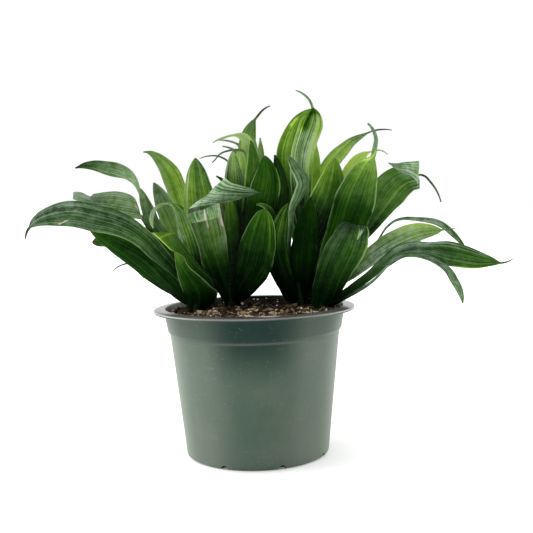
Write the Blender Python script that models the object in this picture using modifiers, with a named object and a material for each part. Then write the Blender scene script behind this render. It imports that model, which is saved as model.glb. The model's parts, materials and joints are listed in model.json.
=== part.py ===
"""A dracaena with short canes and broad arching leaves, growing in a round nursery pot.

The model is in metres with +Z up, and the sizes and tables below are in millimetres. The
origin is the middle of the pot's flat underside, and the plant is looked at along +Y. Each
leafy cane is one solid, its leaves fused to the cane, and it stands in a plain hole in the
soil. A leaf is a thin blade carried along a route, curved across like a shallow trough.
"""
import math
from dataclasses import dataclass

import bmesh
import bpy
import numpy as np

MM = 0.001
GAP = 0.3

# Pot, in millimetres: a thin turned shell with a flat lip and a step below its upper band
LIP_RADIUS = 82.5
LIP_TOP = 121.6
LIP_DROP = 2.2
LIP_THICKNESS = 1.4
LIP_FALL = 0.3
BAND_ROUND = 1.6
WALL = 1.5
BAND_TOP_RADIUS = 74.4
STEP_HEIGHT = 100.6
STEP_RISE = 2.0
BAND_FOOT_RADIUS = 71.0
BODY_TOP_RADIUS = 69.4
BODY_FOOT_RADIUS = 59.2
FOOT_HEIGHT = 5.0
BASE_RADIUS = 55.8
BASE_ROUND = 1.3
FLOOR = 2.0
POT_SIDES = 40
SMOOTH_ANGLE = 35.0

# Half-round drain notches round the bottom edge
NOTCHES = 8
NOTCH_RADIUS = 3.4
NOTCH_FIRST = -72.0
NOTCH_INNER = 52.5
NOTCH_OUTER = 63.0

# Soil, a little crowned at the back, with lumps and bark chips as relief
SOIL_EDGE = 117.0
SOIL_CROWN = 4.5
CROWN_AT = (4.0, 24.0)
CROWN_SPREAD = 34.0
LUMP = 0.55
CHIPS = 46
CHIP_HEIGHT = 1.5
CHIP_SPREAD = 3.4
CHIPS_CLEAR = 7.0
SOIL_RINGS = 8
SOIL_SIDES = 40
SOIL_FADE = 8.0
SEED = 11

# The soil and the canes fit with the gap and a little for the flats of their walls
FIT = GAP + 0.1

# Canes: a tapered stub that stands in the soil
CANE_FOOT_RADIUS = 6.0
CANE_TIP_RADIUS = 3.2
CANE_DEPTH = 40.0
CANE_HEIGHT = 34.0
CANE_SIDES = 12
SOIL_AT_CANES = 119.0
HOLE_OVERRUN = 14.0

# Leaf blades
BLADE = 0.8
ROWS = 9
COLUMNS = 5
NARROW = 22.0
NARROW_COLUMNS = 3
ROW_CROWDING = 0.75
FOOT_WIDTH = 11.0
CLASP_SHIFT = 3.4
FOOT_CUP = 75.0
FOOT_SHARE = 0.3
RIDGE = 0.05
TAIL_WIDTH = 1.6
TAIL_TAPER = 0.6
RISE_POWER = 1.6
FALL_POWER = 0.65
LEAST_FOOT = 0.9
WAVES = 17.0
FINE_ROWS = 81
FLAT_ANGLE = 0.5
EYE = np.array([0.0, -700.0, 204.0])

# Points of an arching leaf, as shares of its reach, its rise, its droop and its sway
ARCH_KEYS = ((0.0, 0.0, 0.0, 0.0), (0.16, 0.50, 0.0, 0.0), (0.45, 0.95, 0.0, 0.2), (0.75, 1.0, 0.25, 0.6),
             (1.0, 1.0, 1.0, 1.0))


@dataclass(frozen=True)
class Leaf:
    """A blade along a route of (across, up, depth) points, as seen from the front.

    Across and up are read on the upright plane through the pot's axis, and depth is how far
    behind that plane the point stands. turn is how the blade is turned about its route, in
    degrees at even steps: 0 shows its underside, 180 its upper face, and 90 or -90 an edge.
    """
    name: str
    root: float
    width: float
    route: tuple
    turn: tuple = (0,)
    foot: float = FOOT_WIDTH
    widest: float = 0.58
    taper: float = FALL_POWER
    tail: float = 0.0
    tail_width: float = TAIL_WIDTH
    cup: float = 22.0
    wave: float = 0.0
    rows: int = ROWS


@dataclass(frozen=True)
class Folded:
    """A blade whose tip folds over: pairs of points on its left and right margins."""
    name: str
    root: float
    pairs: tuple
    foot: float = FOOT_WIDTH
    cup: float = 10.0
    wave: float = 0.0
    rows: int = 11


@dataclass(frozen=True)
class Arch:
    """A blade that leaves its cane towards a heading in plan and arches over and down."""
    name: str
    root: float
    width: float
    heading: float
    reach: float
    rise: float
    droop: float
    sway: float = 0.0
    foot: float = FOOT_WIDTH
    widest: float = 0.58
    taper: float = FALL_POWER
    tail: float = 0.04
    tail_width: float = TAIL_WIDTH
    cup: float = 22.0
    wave: float = 0.0
    rows: int = 6


@dataclass(frozen=True)
class Stem:
    """A leafy cane: where it stands in the pot, in millimetres, and its leaves."""
    name: str
    at: tuple
    leaves: tuple


LEFT_FRONT = (
    Leaf("far left droop", 13, 23, ((-72, 159, -8), (-79.5, 166.5, -11), (-88.5, 176.5, -15),
         (-101.5, 186.5, -18), (-114, 192, -19.5), (-127, 195.5, -20.5), (-147, 200, -22.5),
         (-157.5, 199.5, -23.5), (-166.5, 198, -24.5), (-173, 196, -25.5), (-179, 192.5, -26.5),
         (-183.5, 187, -27), (-185, 181, -27)), turn=(-115, -125, -142, -158, -165, -165), foot=13,
         widest=0.68, tail=0.055, tail_width=2.4, cup=25, wave=0.8, rows=11),
    Leaf("under the droop", 8, 27, ((-65, 136, 0), (-76.5, 147, 0), (-88.5, 159, 1), (-104.5, 170.5, 2),
         (-120.5, 180, 1), (-133, 188, 0)), turn=(-60, -20, -20), foot=16, widest=0.42, cup=20),
    Leaf("curled low tip", 9, 12, ((-65, 134, 8), (-84.5, 159.5, 11), (-104.5, 170.5, 12), (-118, 176, 12),
         (-131, 176.5, 10)), turn=(-40,), widest=0.94, cup=20),
    Leaf("low thread", 7, 9, ((-62.5, 130, 10), (-81, 148, 13), (-94.5, 156.5, 14), (-103.5, 158.5, 13),
         (-110, 156.5, 12), (-115.5, 152.5, 10)), turn=(-40,), widest=0.4, tail=0.3, tail_width=2.0),
    Folded("front left", 4, (((-58, 130, -7), (-29.5, 130.5, -10)), ((-60, 137.5, -10), (-36, 138.5, -14)),
           ((-62, 145.5, -13), (-44, 146, -17)), ((-63.5, 154.5, -15), (-53.5, 155.5, -18)),
           ((-64, 161.5, -17), (-56.5, 162, -19)), ((-64.5, 166.5, -18), (-62.5, 166.5, -19))), foot=25),
    Folded("front left, inner half", 5, (((-44, 140, -5), (-30, 139.5, -5)),
           ((-54, 156, -9), (-44, 155, -7)), ((-59, 164, -12), (-50, 164, -9)),
           ((-67.5, 169, -14), (-54, 170, -12)), ((-74, 175.5, -15), (-59, 177, -13.5)),
           ((-82.5, 183.5, -17), (-64.5, 183.5, -15))), foot=12, rows=10),
    Leaf("hooked", 16, 17, ((-52, 170, -6), (-56.5, 185, -6), (-61, 199, -8), (-66.5, 205.5, -9),
         (-74, 204.5, -10), (-79.5, 199.5, -12), (-81.5, 193.5, -13), (-80.5, 187, -14)), turn=(-175, -160,
         -110, -50), widest=0.5, cup=25, rows=11),
    Leaf("dark left", 12, 13, ((-62, 150, 8), (-77, 173, 10), (-87, 188, 9)), turn=(-150,), rows=7),
    Leaf("dark left, near", 14, 13, ((-60, 152, 4), (-72, 170, 6), (-84, 183, 8)), turn=(-150,), rows=7),
)

LEFT_BACK = (
    Folded("creased left", 12, (((-64.5, 162, 24), (-61, 167, 25)), ((-83.5, 183, 19), (-80, 189.5, 19)),
           ((-89.5, 193, 15), (-91, 200, 15)), ((-91.5, 194.5, 14), (-95.5, 213, 15)),
           ((-114, 198.5, 10), (-110.5, 218, 11)), ((-126, 203, 8), (-127, 216.5, 8.5)),
           ((-133, 207.5, 6.5), (-131, 214.5, 7)), ((-140.5, 210.5, 4.5), (-138.5, 218, 5)),
           ((-145, 212.5, 3), (-144.5, 218, 3))), foot=8, wave=0.4, rows=15),
    Leaf("twisted left", 16, 16, ((-61.5, 159, 37), (-71.5, 177, 36), (-82, 192, 34), (-86.5, 203.5, 31),
         (-90, 212.5, 29), (-93, 219, 26), (-96, 224, 23), (-100.5, 229.5, 20), (-107.5, 233.5, 17),
         (-117.5, 236.5, 15), (-127.5, 239, 14), (-136, 239, 13), (-142, 237.5, 12)), turn=(-150, -150,
         -150, -150, -150, -140, -110, -60, -30, -20, -20), widest=0.72, taper=0.8, cup=25, rows=12),
    Leaf("dull left", 18, 21, ((-56, 170, 46), (-70, 203, 44), (-79, 224, 38)), turn=(-160,), widest=0.62),
    Leaf("bright left", 22, 18, ((-46, 176.5, 54), (-53.5, 197, 56), (-59, 212, 58), (-62.5, 223.5, 59),
         (-66.5, 233, 60), (-71.5, 240, 60), (-77, 245.5, 60), (-82, 248.5, 59), (-86.5, 249, 58)),
         turn=(-170,), widest=0.7, taper=1.0, rows=10),
    Leaf("upright left", 22, 28, ((-38.5, 168, 37), (-41.5, 196.5, 33), (-43, 219, 32), (-44.5, 243, 34)),
         turn=(180,), widest=0.6, cup=28),
    Arch("back left", 9, 26, 130, 80, 84, 46, -8),
    Arch("back left, low", 6, 24, 155, 60, 50, 30, 12),
    Arch("left of centre, back", 13, 24, 108, 66, 78, 26, 4),
)

CENTRE_FRONT = (
    Folded("broad left", 5, (((-41, 153.5, 13), (-19.5, 157.5, 10)), ((-52, 182.5, 13), (-21.5, 177.5, 8)),
           ((-53, 196, 11), (-26, 204, 7)), ((-52, 191, 6), (-25.5, 202.5, 3)),
           ((-50.5, 189.5, 3), (-25, 194, 1))), foot=16),
    Folded("flap over the left", 16, (((-42, 160, 21), (-17, 162, 18)), ((-52, 184, 21), (-14, 195, 16)),
           ((-52, 199, 18), (-21, 223, 14)), ((-42, 203, 9), (-14, 221, 8)), ((-18, 206.5, 3), (0, 217, 4)),
           ((7, 213, 2), (9, 213.5, 2))), rows=12),
    Leaf("narrow centre", 6, 14, ((-16, 150, 14), (-16, 190, 13), (-18, 212, 13)), turn=(20,), widest=0.7,
         rows=7),
    Leaf("front centre", 8, 31, ((-8, 138, 1), (0.5, 154.5, -8), (4, 168.5, -10), (7, 181.5, -12),
         (10.5, 200, -12)), foot=17, widest=0.55, taper=0.5, cup=25),
    Leaf("broad centre", 16, 27, ((5, 187.5, 14), (9.5, 207.5, 12), (13, 225.5, 12), (12, 243.5, 14)),
         widest=0.7, cup=25),
    Leaf("beside the broad centre", 20, 15, ((-0.5, 204, 18), (1.5, 220, 18), (2.5, 236, 18), (1, 256, 19)),
         widest=0.66),
    Leaf("behind the broad centre", 22, 18, ((24, 203, 24), (24.5, 223.5, 25), (22.5, 235, 26),
         (20, 244, 26)), turn=(20,), rows=8),
    Leaf("small centre", 10, 8, ((6, 160, 14), (16, 187, 8.5), (15.5, 197, 7), (11, 202.5, 6), (4, 204, 5)),
         turn=(180,), widest=0.7, rows=8),
)

CENTRE_BACK = (
    Leaf("centre spire", 26, 16, ((-4.5, 236.5, 58), (-2, 252.5, 61), (0.5, 263.5, 62), (2.5, 268.5, 61.5),
         (4.5, 272.5, 61), (7, 275.5, 60), (10, 279, 60), (13, 281.5, 60), (17.5, 283.5, 60)), turn=(10,),
         widest=0.72, taper=0.8, tail=0.11, tail_width=2.2, rows=11),
    Leaf("pale streamer", 26, 13, ((-2, 228, 44), (-1, 244.5, 42), (-2, 252.5, 41), (-4, 258, 40),
         (-9, 260.5, 38.5), (-14.5, 260.5, 37), (-20.5, 259, 36), (-25.5, 257.5, 35.5), (-30, 255, 35)),
         turn=(180, 180, 180, 180, 150), widest=0.7, taper=0.9, tail=0.12, tail_width=2.2, rows=11),
    Leaf("thin streamer", 22, 7, ((-3, 228, 51), (-3.5, 240.5, 50), (-5, 248, 50), (-8.5, 252.5, 50),
         (-13, 255, 50), (-18.5, 256.5, 50), (-26, 257, 50)), turn=(180, 180, 150, 140), widest=0.72,
         tail=0.1, tail_width=2.2),
    Leaf("short streamer", 18, 6, ((-7, 228.5, 64), (-8.5, 242, 67), (-12, 248, 68), (-19.5, 251.5, 68),
         (-22.5, 252, 68)), tail=0.2, tail_width=2.8),
    Leaf("curled streamer", 20, 7, ((-3.5, 228.5, 34), (-2.5, 240.5, 34), (-5, 247.5, 34), (-11.5, 249, 34),
         (-17, 248.5, 34.5), (-21, 247.5, 35), (-25, 245.5, 36), (-28, 242, 37), (-31, 239, 38)), turn=(180,
         180, 140, 130), widest=0.55, tail=0.26, tail_width=2.8, rows=11),
    Leaf("low streamer", 18, 14, ((-9, 216, 56), (-12, 227.5, 57), (-15.5, 236.5, 58), (-20.5, 241.5, 58),
         (-26, 244, 58), (-32.5, 244.5, 58), (-41, 242.5, 58)), turn=(0, 0, -20, -50), widest=0.66,
         tail=0.2, tail_width=2.0, rows=10),
    Leaf("striped centre", 24, 20, ((-12.5, 204, 38), (-13.5, 220.5, 38), (-14, 234, 37),
         (-13.5, 248.5, 36)), turn=(180,), widest=0.6, cup=30),
    Leaf("dark tip", 16, 9, ((-12.5, 204, 45), (-18.5, 218, 47), (-23, 224.5, 48), (-28, 228, 48)), rows=8),
    Leaf("green tip", 24, 9, ((5, 216, 34), (8.5, 240, 34), (8.5, 258, 34)), widest=0.7, rows=7),
    Leaf("pale tip", 22, 8, ((1, 216, 38), (3, 240, 38), (4, 257.5, 38)), turn=(180,), widest=0.86,
         rows=7),
    Arch("back centre", 10, 26, 88, 92, 92, 44, 8),
    Arch("back centre, left", 8, 25, 118, 84, 70, 34, -8),
    Arch("back centre, high", 16, 22, 70, 60, 98, 20, 4),
)

RIGHT_FRONT = (
    Folded("front right", 3, (((49, 140, -12), (80, 140, -13)), ((57, 163, -20), (93, 162, -22)),
           ((66, 178, -26), (96, 174, -27)), ((74, 187, -30), (95, 182, -30)),
           ((82, 182, -34), (92, 180, -34)), ((85, 173, -35), (87, 173, -35))), foot=24, rows=12),
    Leaf("broad right", 12, 34, ((66, 160, -4), (78, 185, -8), (84.5, 203, -10), (91.5, 222, -9),
         (97, 234, -7), (100.5, 241, -5), (102, 248, -3), (103, 254.5, -1), (101.5, 260.5, 0),
         (96.5, 267.5, 2)), foot=14, widest=0.52, tail=0.2, tail_width=4.2, rows=11),
    Leaf("far right", 4, 21, ((73, 127, -8), (94, 140, -9), (110, 153, -11), (121, 160, -12),
         (133.5, 162.5, -13), (146, 161.5, -15), (158.5, 159.5, -17), (170.5, 157, -19), (183, 154, -21),
         (195.5, 152, -22), (206, 150.5, -22), (214.5, 153.5, -22)), turn=(95, 100, 108, 110, 112, 117, 128,
         165, 172, 175, 175), foot=15, widest=0.68, taper=0.8, tail=0.06, wave=0.4, rows=11),
    Leaf("drooping right", 4, 10, ((74, 125, -10), (99, 138, -18), (109.5, 148.5, -24), (115.5, 155, -28),
         (125, 157.5, -30), (135.5, 157.5, -32), (146, 154.5, -34), (154, 150, -35), (160.5, 144.5, -36),
         (165, 137, -37), (169, 130, -38), (172.5, 118, -38)), turn=(60, 64, 70, 73, 62, 45), widest=0.82,
         rows=12),
)

RIGHT_CENTRE = (
    Leaf("upright right", 10, 31, ((43.5, 165.5, 8), (55, 188.5, 8), (62, 206, 8), (66, 219, 8),
         (69, 240, 10)), foot=16, widest=0.6),
    Leaf("twisted centre", 14, 16, ((31, 170, 8), (33, 186.5, 4), (35, 200.5, 0), (40.5, 211, -2),
         (43.5, 219, -2), (42, 226.5, -1), (37.5, 233.5, 0), (31.5, 243, 2)), turn=(70, 72, 74, 66, 45, 42),
         widest=0.8, rows=12),
    Leaf("ridged right", 4, 21, ((41, 152, 5), (45, 185, 3), (49, 209, 3)), foot=16),
    Leaf("mottled strip", 6, 17, ((24.5, 148, 3), (20.5, 172, 2), (24, 189, 2), (30, 204, 2)), foot=13),
    Leaf("strip over the gap", 4, 6, ((29, 124, 9), (22, 136, 10), (15, 150, 10), (8, 168, 6)), turn=(60,),
         foot=5, rows=7),
)

RIGHT_BACK = (
    Leaf("tallest right", 24, 21, ((44, 178, 28), (41, 215, 28), (41.5, 235, 28), (43.5, 247.5, 28.5),
         (46, 255.5, 29), (49, 263.5, 30), (51.5, 270.5, 32), (52.5, 276.5, 33.5), (51.5, 282.5, 35),
         (49, 288, 36), (45, 292, 37), (38.5, 295.5, 38)), widest=0.775, tail=0.135, tail_width=2.4, cup=30,
         rows=12),
    Leaf("tallest right, lit half", 26, 23, ((44, 175, 33), (36, 215, 33), (31.5, 240, 33), (35.5, 260, 34),
         (43, 273, 35), (51, 280, 36)), widest=0.62, cup=30, rows=10),
    Leaf("lime behind", 22, 15, ((48, 178, 42), (50, 206.5, 43), (52, 231, 44), (53, 255, 44)), turn=(180,
         ), rows=7),
    Leaf("arched right", 22, 14.5, ((49.5, 202.5, 52), (57.5, 220, 53), (64.5, 234, 54), (70.5, 241, 54),
         (77, 247, 54), (83, 252.5, 54), (91, 257, 54), (100, 261, 54), (116, 261.5, 54)), turn=(-10, -10,
         10, 40), widest=0.62, taper=1.1, tail=0.1, tail_width=1.8, rows=11),
    Leaf("lime right", 18, 19, ((72.5, 193.5, 22), (79.5, 214, 20), (84, 228.5, 20), (89, 238, 20),
         (94.5, 243, 20), (101, 245, 20), (106, 245.5, 21), (112.5, 241.5, 22)), turn=(180,), widest=0.68,
         taper=0.9, tail=0.12, rows=11),
    Folded("folded right", 12, (((76, 172, 34), (92, 170, 32)), ((93, 203, 31), (115, 193.5, 28)),
           ((102.5, 222, 28), (125, 203.5, 23)), ((115.5, 231, 25), (132.5, 211.5, 20)),
           ((136.5, 235.5, 19), (137.5, 214, 16)), ((128, 235.5, 9), (132, 222.5, 7.5)),
           ((119, 234.5, 6), (122, 227.5, 5)), ((112.5, 235.5, 4), (113, 234.5, 4))), rows=14),
    Leaf("right thread", 12, 8, ((84, 165, 46), (109.5, 192.5, 47), (124.5, 212.5, 48), (132, 221.5, 47),
         (137.5, 224.5, 46), (142, 223.5, 45), (146.5, 219, 44), (151.5, 212, 42), (155.5, 201.5, 40)),
         turn=(60,), widest=0.4, tail=0.3, tail_width=3.6, rows=11),
    Leaf("right bow", 8, 10, ((84, 150, 42), (103, 170.5, 42), (111.5, 182.5, 41), (118, 187, 40),
         (125.5, 188.5, 39.5), (134, 188, 39), (142, 187, 38), (149.5, 185.5, 37), (157, 182, 36),
         (163.5, 176.5, 35), (169, 171, 33), (176, 162, 31)), turn=(60, 70, 76, 72, 58, 50), widest=0.76,
         rows=12),
    Leaf("light right", 8, 19, ((82, 146, 24), (104, 163, 25), (120, 172, 26), (138, 178, 26),
         (155, 179, 26), (167, 180, 26)), turn=(110, 130, 165, 170), foot=14, widest=0.68, tail=0.08,
         rows=10),
    Arch("back right", 10, 26, 78, 92, 90, 44, -8),
    Arch("back right, low", 8, 25, 48, 84, 66, 34, 8),
    Arch("back right, inner", 12, 24, 106, 78, 82, 34, 6),
)

STEMS = (
    Stem("stem_left_front", (-46.0, -3.0), LEFT_FRONT),
    Stem("stem_left_back", (-38.0, 36.0), LEFT_BACK),
    Stem("stem_centre_front", (-18.0, 12.0), CENTRE_FRONT),
    Stem("stem_centre_back", (-16.0, 46.0), CENTRE_BACK),
    Stem("stem_right_front", (56.0, -4.0), RIGHT_FRONT),
    Stem("stem_right_centre", (38.0, 10.0), RIGHT_CENTRE),
    Stem("stem_right_back", (47.0, 31.0), RIGHT_BACK),
)


def seen_point(across, up, depth):
    """The point at this depth on the line of sight to (across, up) on the plane through the axis."""
    flat = np.array([across, 0.0, up], float)
    return EYE + (flat - EYE) * (depth - EYE[1]) / -EYE[1]


def cubic(points, knots, count):
    """Cubic pieces through the points, with slopes from their neighbours, at even steps of the knots."""
    points = np.asarray(points, float)
    slopes = np.gradient(points, knots, axis=0, edge_order=2 if len(points) > 2 else 1)
    where = np.linspace(knots[0], knots[-1], count)
    piece = np.clip(np.searchsorted(knots, where, side="right") - 1, 0, len(points) - 2)
    span = (knots[piece + 1] - knots[piece])[:, None]
    f = (where - knots[piece])[:, None] / span
    start, end = points[piece], points[piece + 1]
    return ((1 + 2 * f) * (1 - f) ** 2 * start + f * (1 - f) ** 2 * span * slopes[piece]
            + f * f * (3 - 2 * f) * end + f * f * (f - 1) * span * slopes[piece + 1])


def chord_lengths(points):
    """Running length along the points."""
    steps = np.linalg.norm(np.diff(np.asarray(points, float), axis=0), axis=1)
    return np.concatenate(([0.0], np.cumsum(steps)))


def smooth_route(points, count):
    """A smooth curve through the points, as count points at even steps of its length."""
    fine = cubic(points, chord_lengths(points), 160)
    along = chord_lengths(fine)
    at = np.linspace(0.0, along[-1], count)
    return np.stack([np.interp(at, along, fine[:, axis]) for axis in range(3)], axis=1)


def unit(vectors):
    """Each row scaled to length one."""
    return vectors / (np.linalg.norm(vectors, axis=-1, keepdims=True) + 1e-9)


def half_widths(leaf, u):
    """Half the blade's width: narrow foot, widest part, quick taper and a thin tail."""
    body_end = 1.0 - leaf.tail
    rise = np.sin(np.clip(u / leaf.widest, 0, 1) * math.pi / 2) ** RISE_POWER
    fall = np.clip((u - leaf.widest) / (body_end - leaf.widest), 0, 1)
    foot = min(leaf.foot / leaf.width, LEAST_FOOT)
    rising = foot + (1 - foot) * rise
    falling = np.cos(fall * math.pi / 2) ** leaf.taper
    share = np.where(u < leaf.widest, rising, falling)
    past_body = np.clip((u - body_end) / max(leaf.tail, 0.01), 0, 1)
    return 0.5 * np.maximum(leaf.width * share, leaf.tail_width * (1 - TAIL_TAPER * past_body ** 2))


def leaf_foot(leaf, stem):
    """Where the leaf leaves the cane's axis, in millimetres."""
    return np.array([stem.at[0], stem.at[1], SOIL_AT_CANES + leaf.root])


def seen_leaf_lines(leaf, stem, u):
    """Midrib, unit side vectors and half widths of a leaf given as it is seen."""
    middle = smooth_route([leaf_foot(leaf, stem)] + [seen_point(*p) for p in leaf.route], len(u))
    turns = np.radians(np.interp(u, np.linspace(0, 1, len(leaf.turn)), leaf.turn))[:, None]
    along = unit(np.gradient(middle, axis=0))
    flat_side = unit(np.stack([along[:, 2], np.zeros(len(u)), -along[:, 0]], axis=1))
    side = np.cos(turns) * flat_side + np.sin(turns) * np.array([0.0, 1.0, 0.0])
    side = unit(side - (side * along).sum(axis=1, keepdims=True) * along)
    return middle, side, half_widths(leaf, u)


def folded_leaf_lines(leaf, stem, u):
    """The same for a leaf given by pairs of margin points."""
    foot = leaf_foot(leaf, stem)
    left = [seen_point(*pair[0]) for pair in leaf.pairs]
    right = [seen_point(*pair[1]) for pair in leaf.pairs]
    reach = unit(right[0] - left[0]) * leaf.foot / 2
    knots = np.arange(len(leaf.pairs) + 1, dtype=float)
    left = cubic([foot - reach] + left, knots, len(u))
    right = cubic([foot + reach] + right, knots, len(u))
    half = np.linalg.norm(right - left, axis=1) / 2
    return (left + right) / 2, unit(right - left), half


def arched_leaf_lines(leaf, stem, u):
    """The same for a leaf given by its heading, reach, rise and droop."""
    foot = leaf_foot(leaf, stem)
    heading = math.radians(leaf.heading)
    out = np.array([math.cos(heading), math.sin(heading), 0.0])
    across = np.array([-math.sin(heading), math.cos(heading), 0.0])
    up = np.array([0.0, 0.0, 1.0])
    keys = [foot + out * leaf.reach * reach + up * (leaf.rise * rise - leaf.droop * droop)
            + across * leaf.sway * sway for reach, rise, droop, sway in ARCH_KEYS]
    middle = smooth_route(keys, len(u))
    along = unit(np.gradient(middle, axis=0))
    side = np.broadcast_to(across, along.shape)
    side = unit(side - (side * along).sum(axis=1, keepdims=True) * along)
    return middle, side, half_widths(leaf, u)


def leaf_lines(leaf, stem, u):
    """Midrib, side vectors and half widths at the shares u of the leaf's length."""
    if isinstance(leaf, Folded):
        return folded_leaf_lines(leaf, stem, u)
    if isinstance(leaf, Arch):
        return arched_leaf_lines(leaf, stem, u)
    return seen_leaf_lines(leaf, stem, u)


def at_shares(line, fine, u):
    """The rows of a fine line read at the shares u."""
    return np.stack([np.interp(u, fine, column) for column in line.T], axis=1)


def blade_points(leaf, stem, u, columns):
    """The blade's middle surface in millimetres: rows at the shares u of its length, by columns across.

    Across, the blade is an arc that is tight at the foot, where it clasps the cane, and
    shallow further out, with two soft ridges and a waved margin.
    """
    fine = np.linspace(0, 1, FINE_ROWS)
    middle, side, half = (line.reshape(FINE_ROWS, -1) for line in leaf_lines(leaf, stem, fine))
    along = unit(np.gradient(middle, axis=0))
    upper = unit(np.cross(along, side))
    middle, side, upper, half = (at_shares(line, fine, u) for line in (middle, side, upper, half))
    v = np.linspace(-1, 1, columns)[None, :]
    clasp = np.clip(1 - u / FOOT_SHARE, 0, 1) ** 1.5
    cup = np.radians(leaf.cup + (FOOT_CUP - leaf.cup) * clasp)[:, None]
    middle = middle - upper * CLASP_SHIFT * clasp[:, None]
    lateral = half * np.sin(cup * v) / cup
    lift = half * (1 - np.cos(cup * v)) / cup
    lift = lift + half * RIDGE * np.sin(math.pi * np.abs(v))
    wave = leaf.wave * np.sin(WAVES * u)[:, None] * v ** 3 * np.sin(math.pi * u)[:, None]
    return middle[:, None] + lateral[..., None] * side[:, None] + (lift + wave)[..., None] * upper[:, None]


def clear_scene():
    """Remove every object, and the meshes and materials that they leave behind."""
    for thing in list(bpy.data.objects):
        bpy.data.objects.remove(thing, do_unlink=True)
    for block in list(bpy.data.meshes):
        bpy.data.meshes.remove(block)
    for material in list(bpy.data.materials):
        bpy.data.materials.remove(material)
    for group in list(bpy.data.collections):
        bpy.data.collections.remove(group)


def new_collection(name):
    """A collection linked to the scene."""
    group = bpy.data.collections.new(name)
    bpy.context.scene.collection.children.link(group)
    return group


def new_material(name, colour, roughness):
    """A Principled material with one colour."""
    material = bpy.data.materials.new(name)
    material.use_nodes = True
    shader = material.node_tree.nodes["Principled BSDF"]
    shader.inputs["Base Color"].default_value = (*colour, 1.0)
    shader.inputs["Roughness"].default_value = roughness
    shader.inputs["Metallic"].default_value = 0.0
    return material


def new_object(name, mesh, group, material=None):
    """An object of the mesh in the collection."""
    thing = bpy.data.objects.new(name, mesh)
    group.objects.link(thing)
    if material is not None:
        mesh.materials.append(material)
    return thing


def as_cutter(thing):
    """Mark an object as a cutter, which isn't part of the model."""
    thing.hide_render = True
    thing.display_type = "WIRE"
    return thing


def apply_modifiers(thing):
    """Replace the object's mesh by its evaluated one, and drop its modifiers."""
    evaluated = thing.evaluated_get(bpy.context.evaluated_depsgraph_get())
    mesh = bpy.data.meshes.new_from_object(evaluated)
    old = thing.data
    thing.modifiers.clear()
    thing.data = mesh
    bpy.data.meshes.remove(old)


def smooth(thing):
    """Shade an object smooth, apart from its sharp edges."""
    thing.data.shade_smooth()
    thing.data.set_sharp_from_angle(angle=math.radians(SMOOTH_ANGLE))


def turned_body(name, profile, sides, group, material=None):
    """A body of revolution about Z from (radius, height) points in millimetres, outer side downwards."""
    mesh = bpy.data.meshes.new(name)
    points = [(radius * MM, 0.0, height * MM) for radius, height in profile]
    mesh.from_pydata(points, [(i, i + 1) for i in range(len(points) - 1)], [])
    thing = new_object(name, mesh, group, material)
    screw = thing.modifiers.new("turn", "SCREW")
    screw.axis = "Z"
    screw.steps = sides
    screw.render_steps = sides
    screw.use_merge_vertices = True
    screw.merge_threshold = 0.00001
    apply_modifiers(thing)
    return thing


def cone_mesh(name, foot_radius, tip_radius, length, sides):
    """A closed cone or cylinder standing on its foot at the origin, in millimetres."""
    mesh = bpy.data.meshes.new(name)
    work = bmesh.new()
    bmesh.ops.create_cone(work, cap_ends=True, segments=sides, radius1=foot_radius * MM,
                          radius2=tip_radius * MM, depth=length * MM)
    bmesh.ops.translate(work, verts=work.verts, vec=(0.0, 0.0, length * MM / 2))
    work.to_mesh(mesh)
    work.free()
    return mesh


def cut(thing, cutters):
    """Subtract every object of the collection, and apply it."""
    boolean = thing.modifiers.new("cut", "BOOLEAN")
    boolean.operation = "DIFFERENCE"
    boolean.solver = "EXACT"
    boolean.operand_type = "COLLECTION"
    boolean.collection = cutters
    apply_modifiers(thing)


def build_pot(group, cutters, material):
    """The pot: one thin shell with a lip, a step, a flat foot and half-round drain notches."""
    profile = [(0.0, FLOOR),
               (BASE_RADIUS - BASE_ROUND, FLOOR),
               (BODY_FOOT_RADIUS - WALL - 0.4, FOOT_HEIGHT + 0.6),
               (BODY_TOP_RADIUS - WALL, STEP_HEIGHT),
               (BAND_FOOT_RADIUS - WALL, STEP_HEIGHT + STEP_RISE),
               (BAND_TOP_RADIUS - WALL, LIP_TOP - BAND_ROUND),
               (BAND_TOP_RADIUS - WALL + 1.4, LIP_TOP),
               (LIP_RADIUS - 3.6, LIP_TOP - LIP_FALL),
               (LIP_RADIUS - 0.8, LIP_TOP - LIP_DROP * 0.6),
               (LIP_RADIUS, LIP_TOP - LIP_DROP),
               (LIP_RADIUS - 0.5, LIP_TOP - LIP_DROP - 0.8),
               (LIP_RADIUS - 1.6, LIP_TOP - LIP_DROP - 0.6),
               (LIP_RADIUS - 4.2, LIP_TOP - LIP_FALL - LIP_THICKNESS),
               (BAND_TOP_RADIUS + 0.9, LIP_TOP - LIP_THICKNESS - 0.2),
               (BAND_TOP_RADIUS, LIP_TOP - LIP_THICKNESS - BAND_ROUND),
               (BAND_FOOT_RADIUS + 0.3, STEP_HEIGHT + STEP_RISE + 0.4),
               (BAND_FOOT_RADIUS - 0.5, STEP_HEIGHT + 0.6),
               (BODY_TOP_RADIUS, STEP_HEIGHT - 1.0),
               (BODY_FOOT_RADIUS, FOOT_HEIGHT),
               (BODY_FOOT_RADIUS - BASE_ROUND, BASE_ROUND),
               (BASE_RADIUS, 0.0),
               (0.0, 0.0)]
    pot = turned_body("pot", profile, POT_SIDES, group, material)
    for number in range(NOTCHES):
        bearing = math.radians(NOTCH_FIRST + number * 360.0 / NOTCHES)
        mesh = cone_mesh("notch", NOTCH_RADIUS, NOTCH_RADIUS, NOTCH_OUTER - NOTCH_INNER, 12)
        notch = as_cutter(new_object(f"notch_{number + 1}", mesh, cutters))
        notch.location = (math.cos(bearing) * NOTCH_INNER * MM, math.sin(bearing) * NOTCH_INNER * MM, 0.0)
        notch.rotation_euler = (0.0, math.pi / 2, bearing)
    cut(pot, cutters)
    smooth(pot)
    return pot


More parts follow.
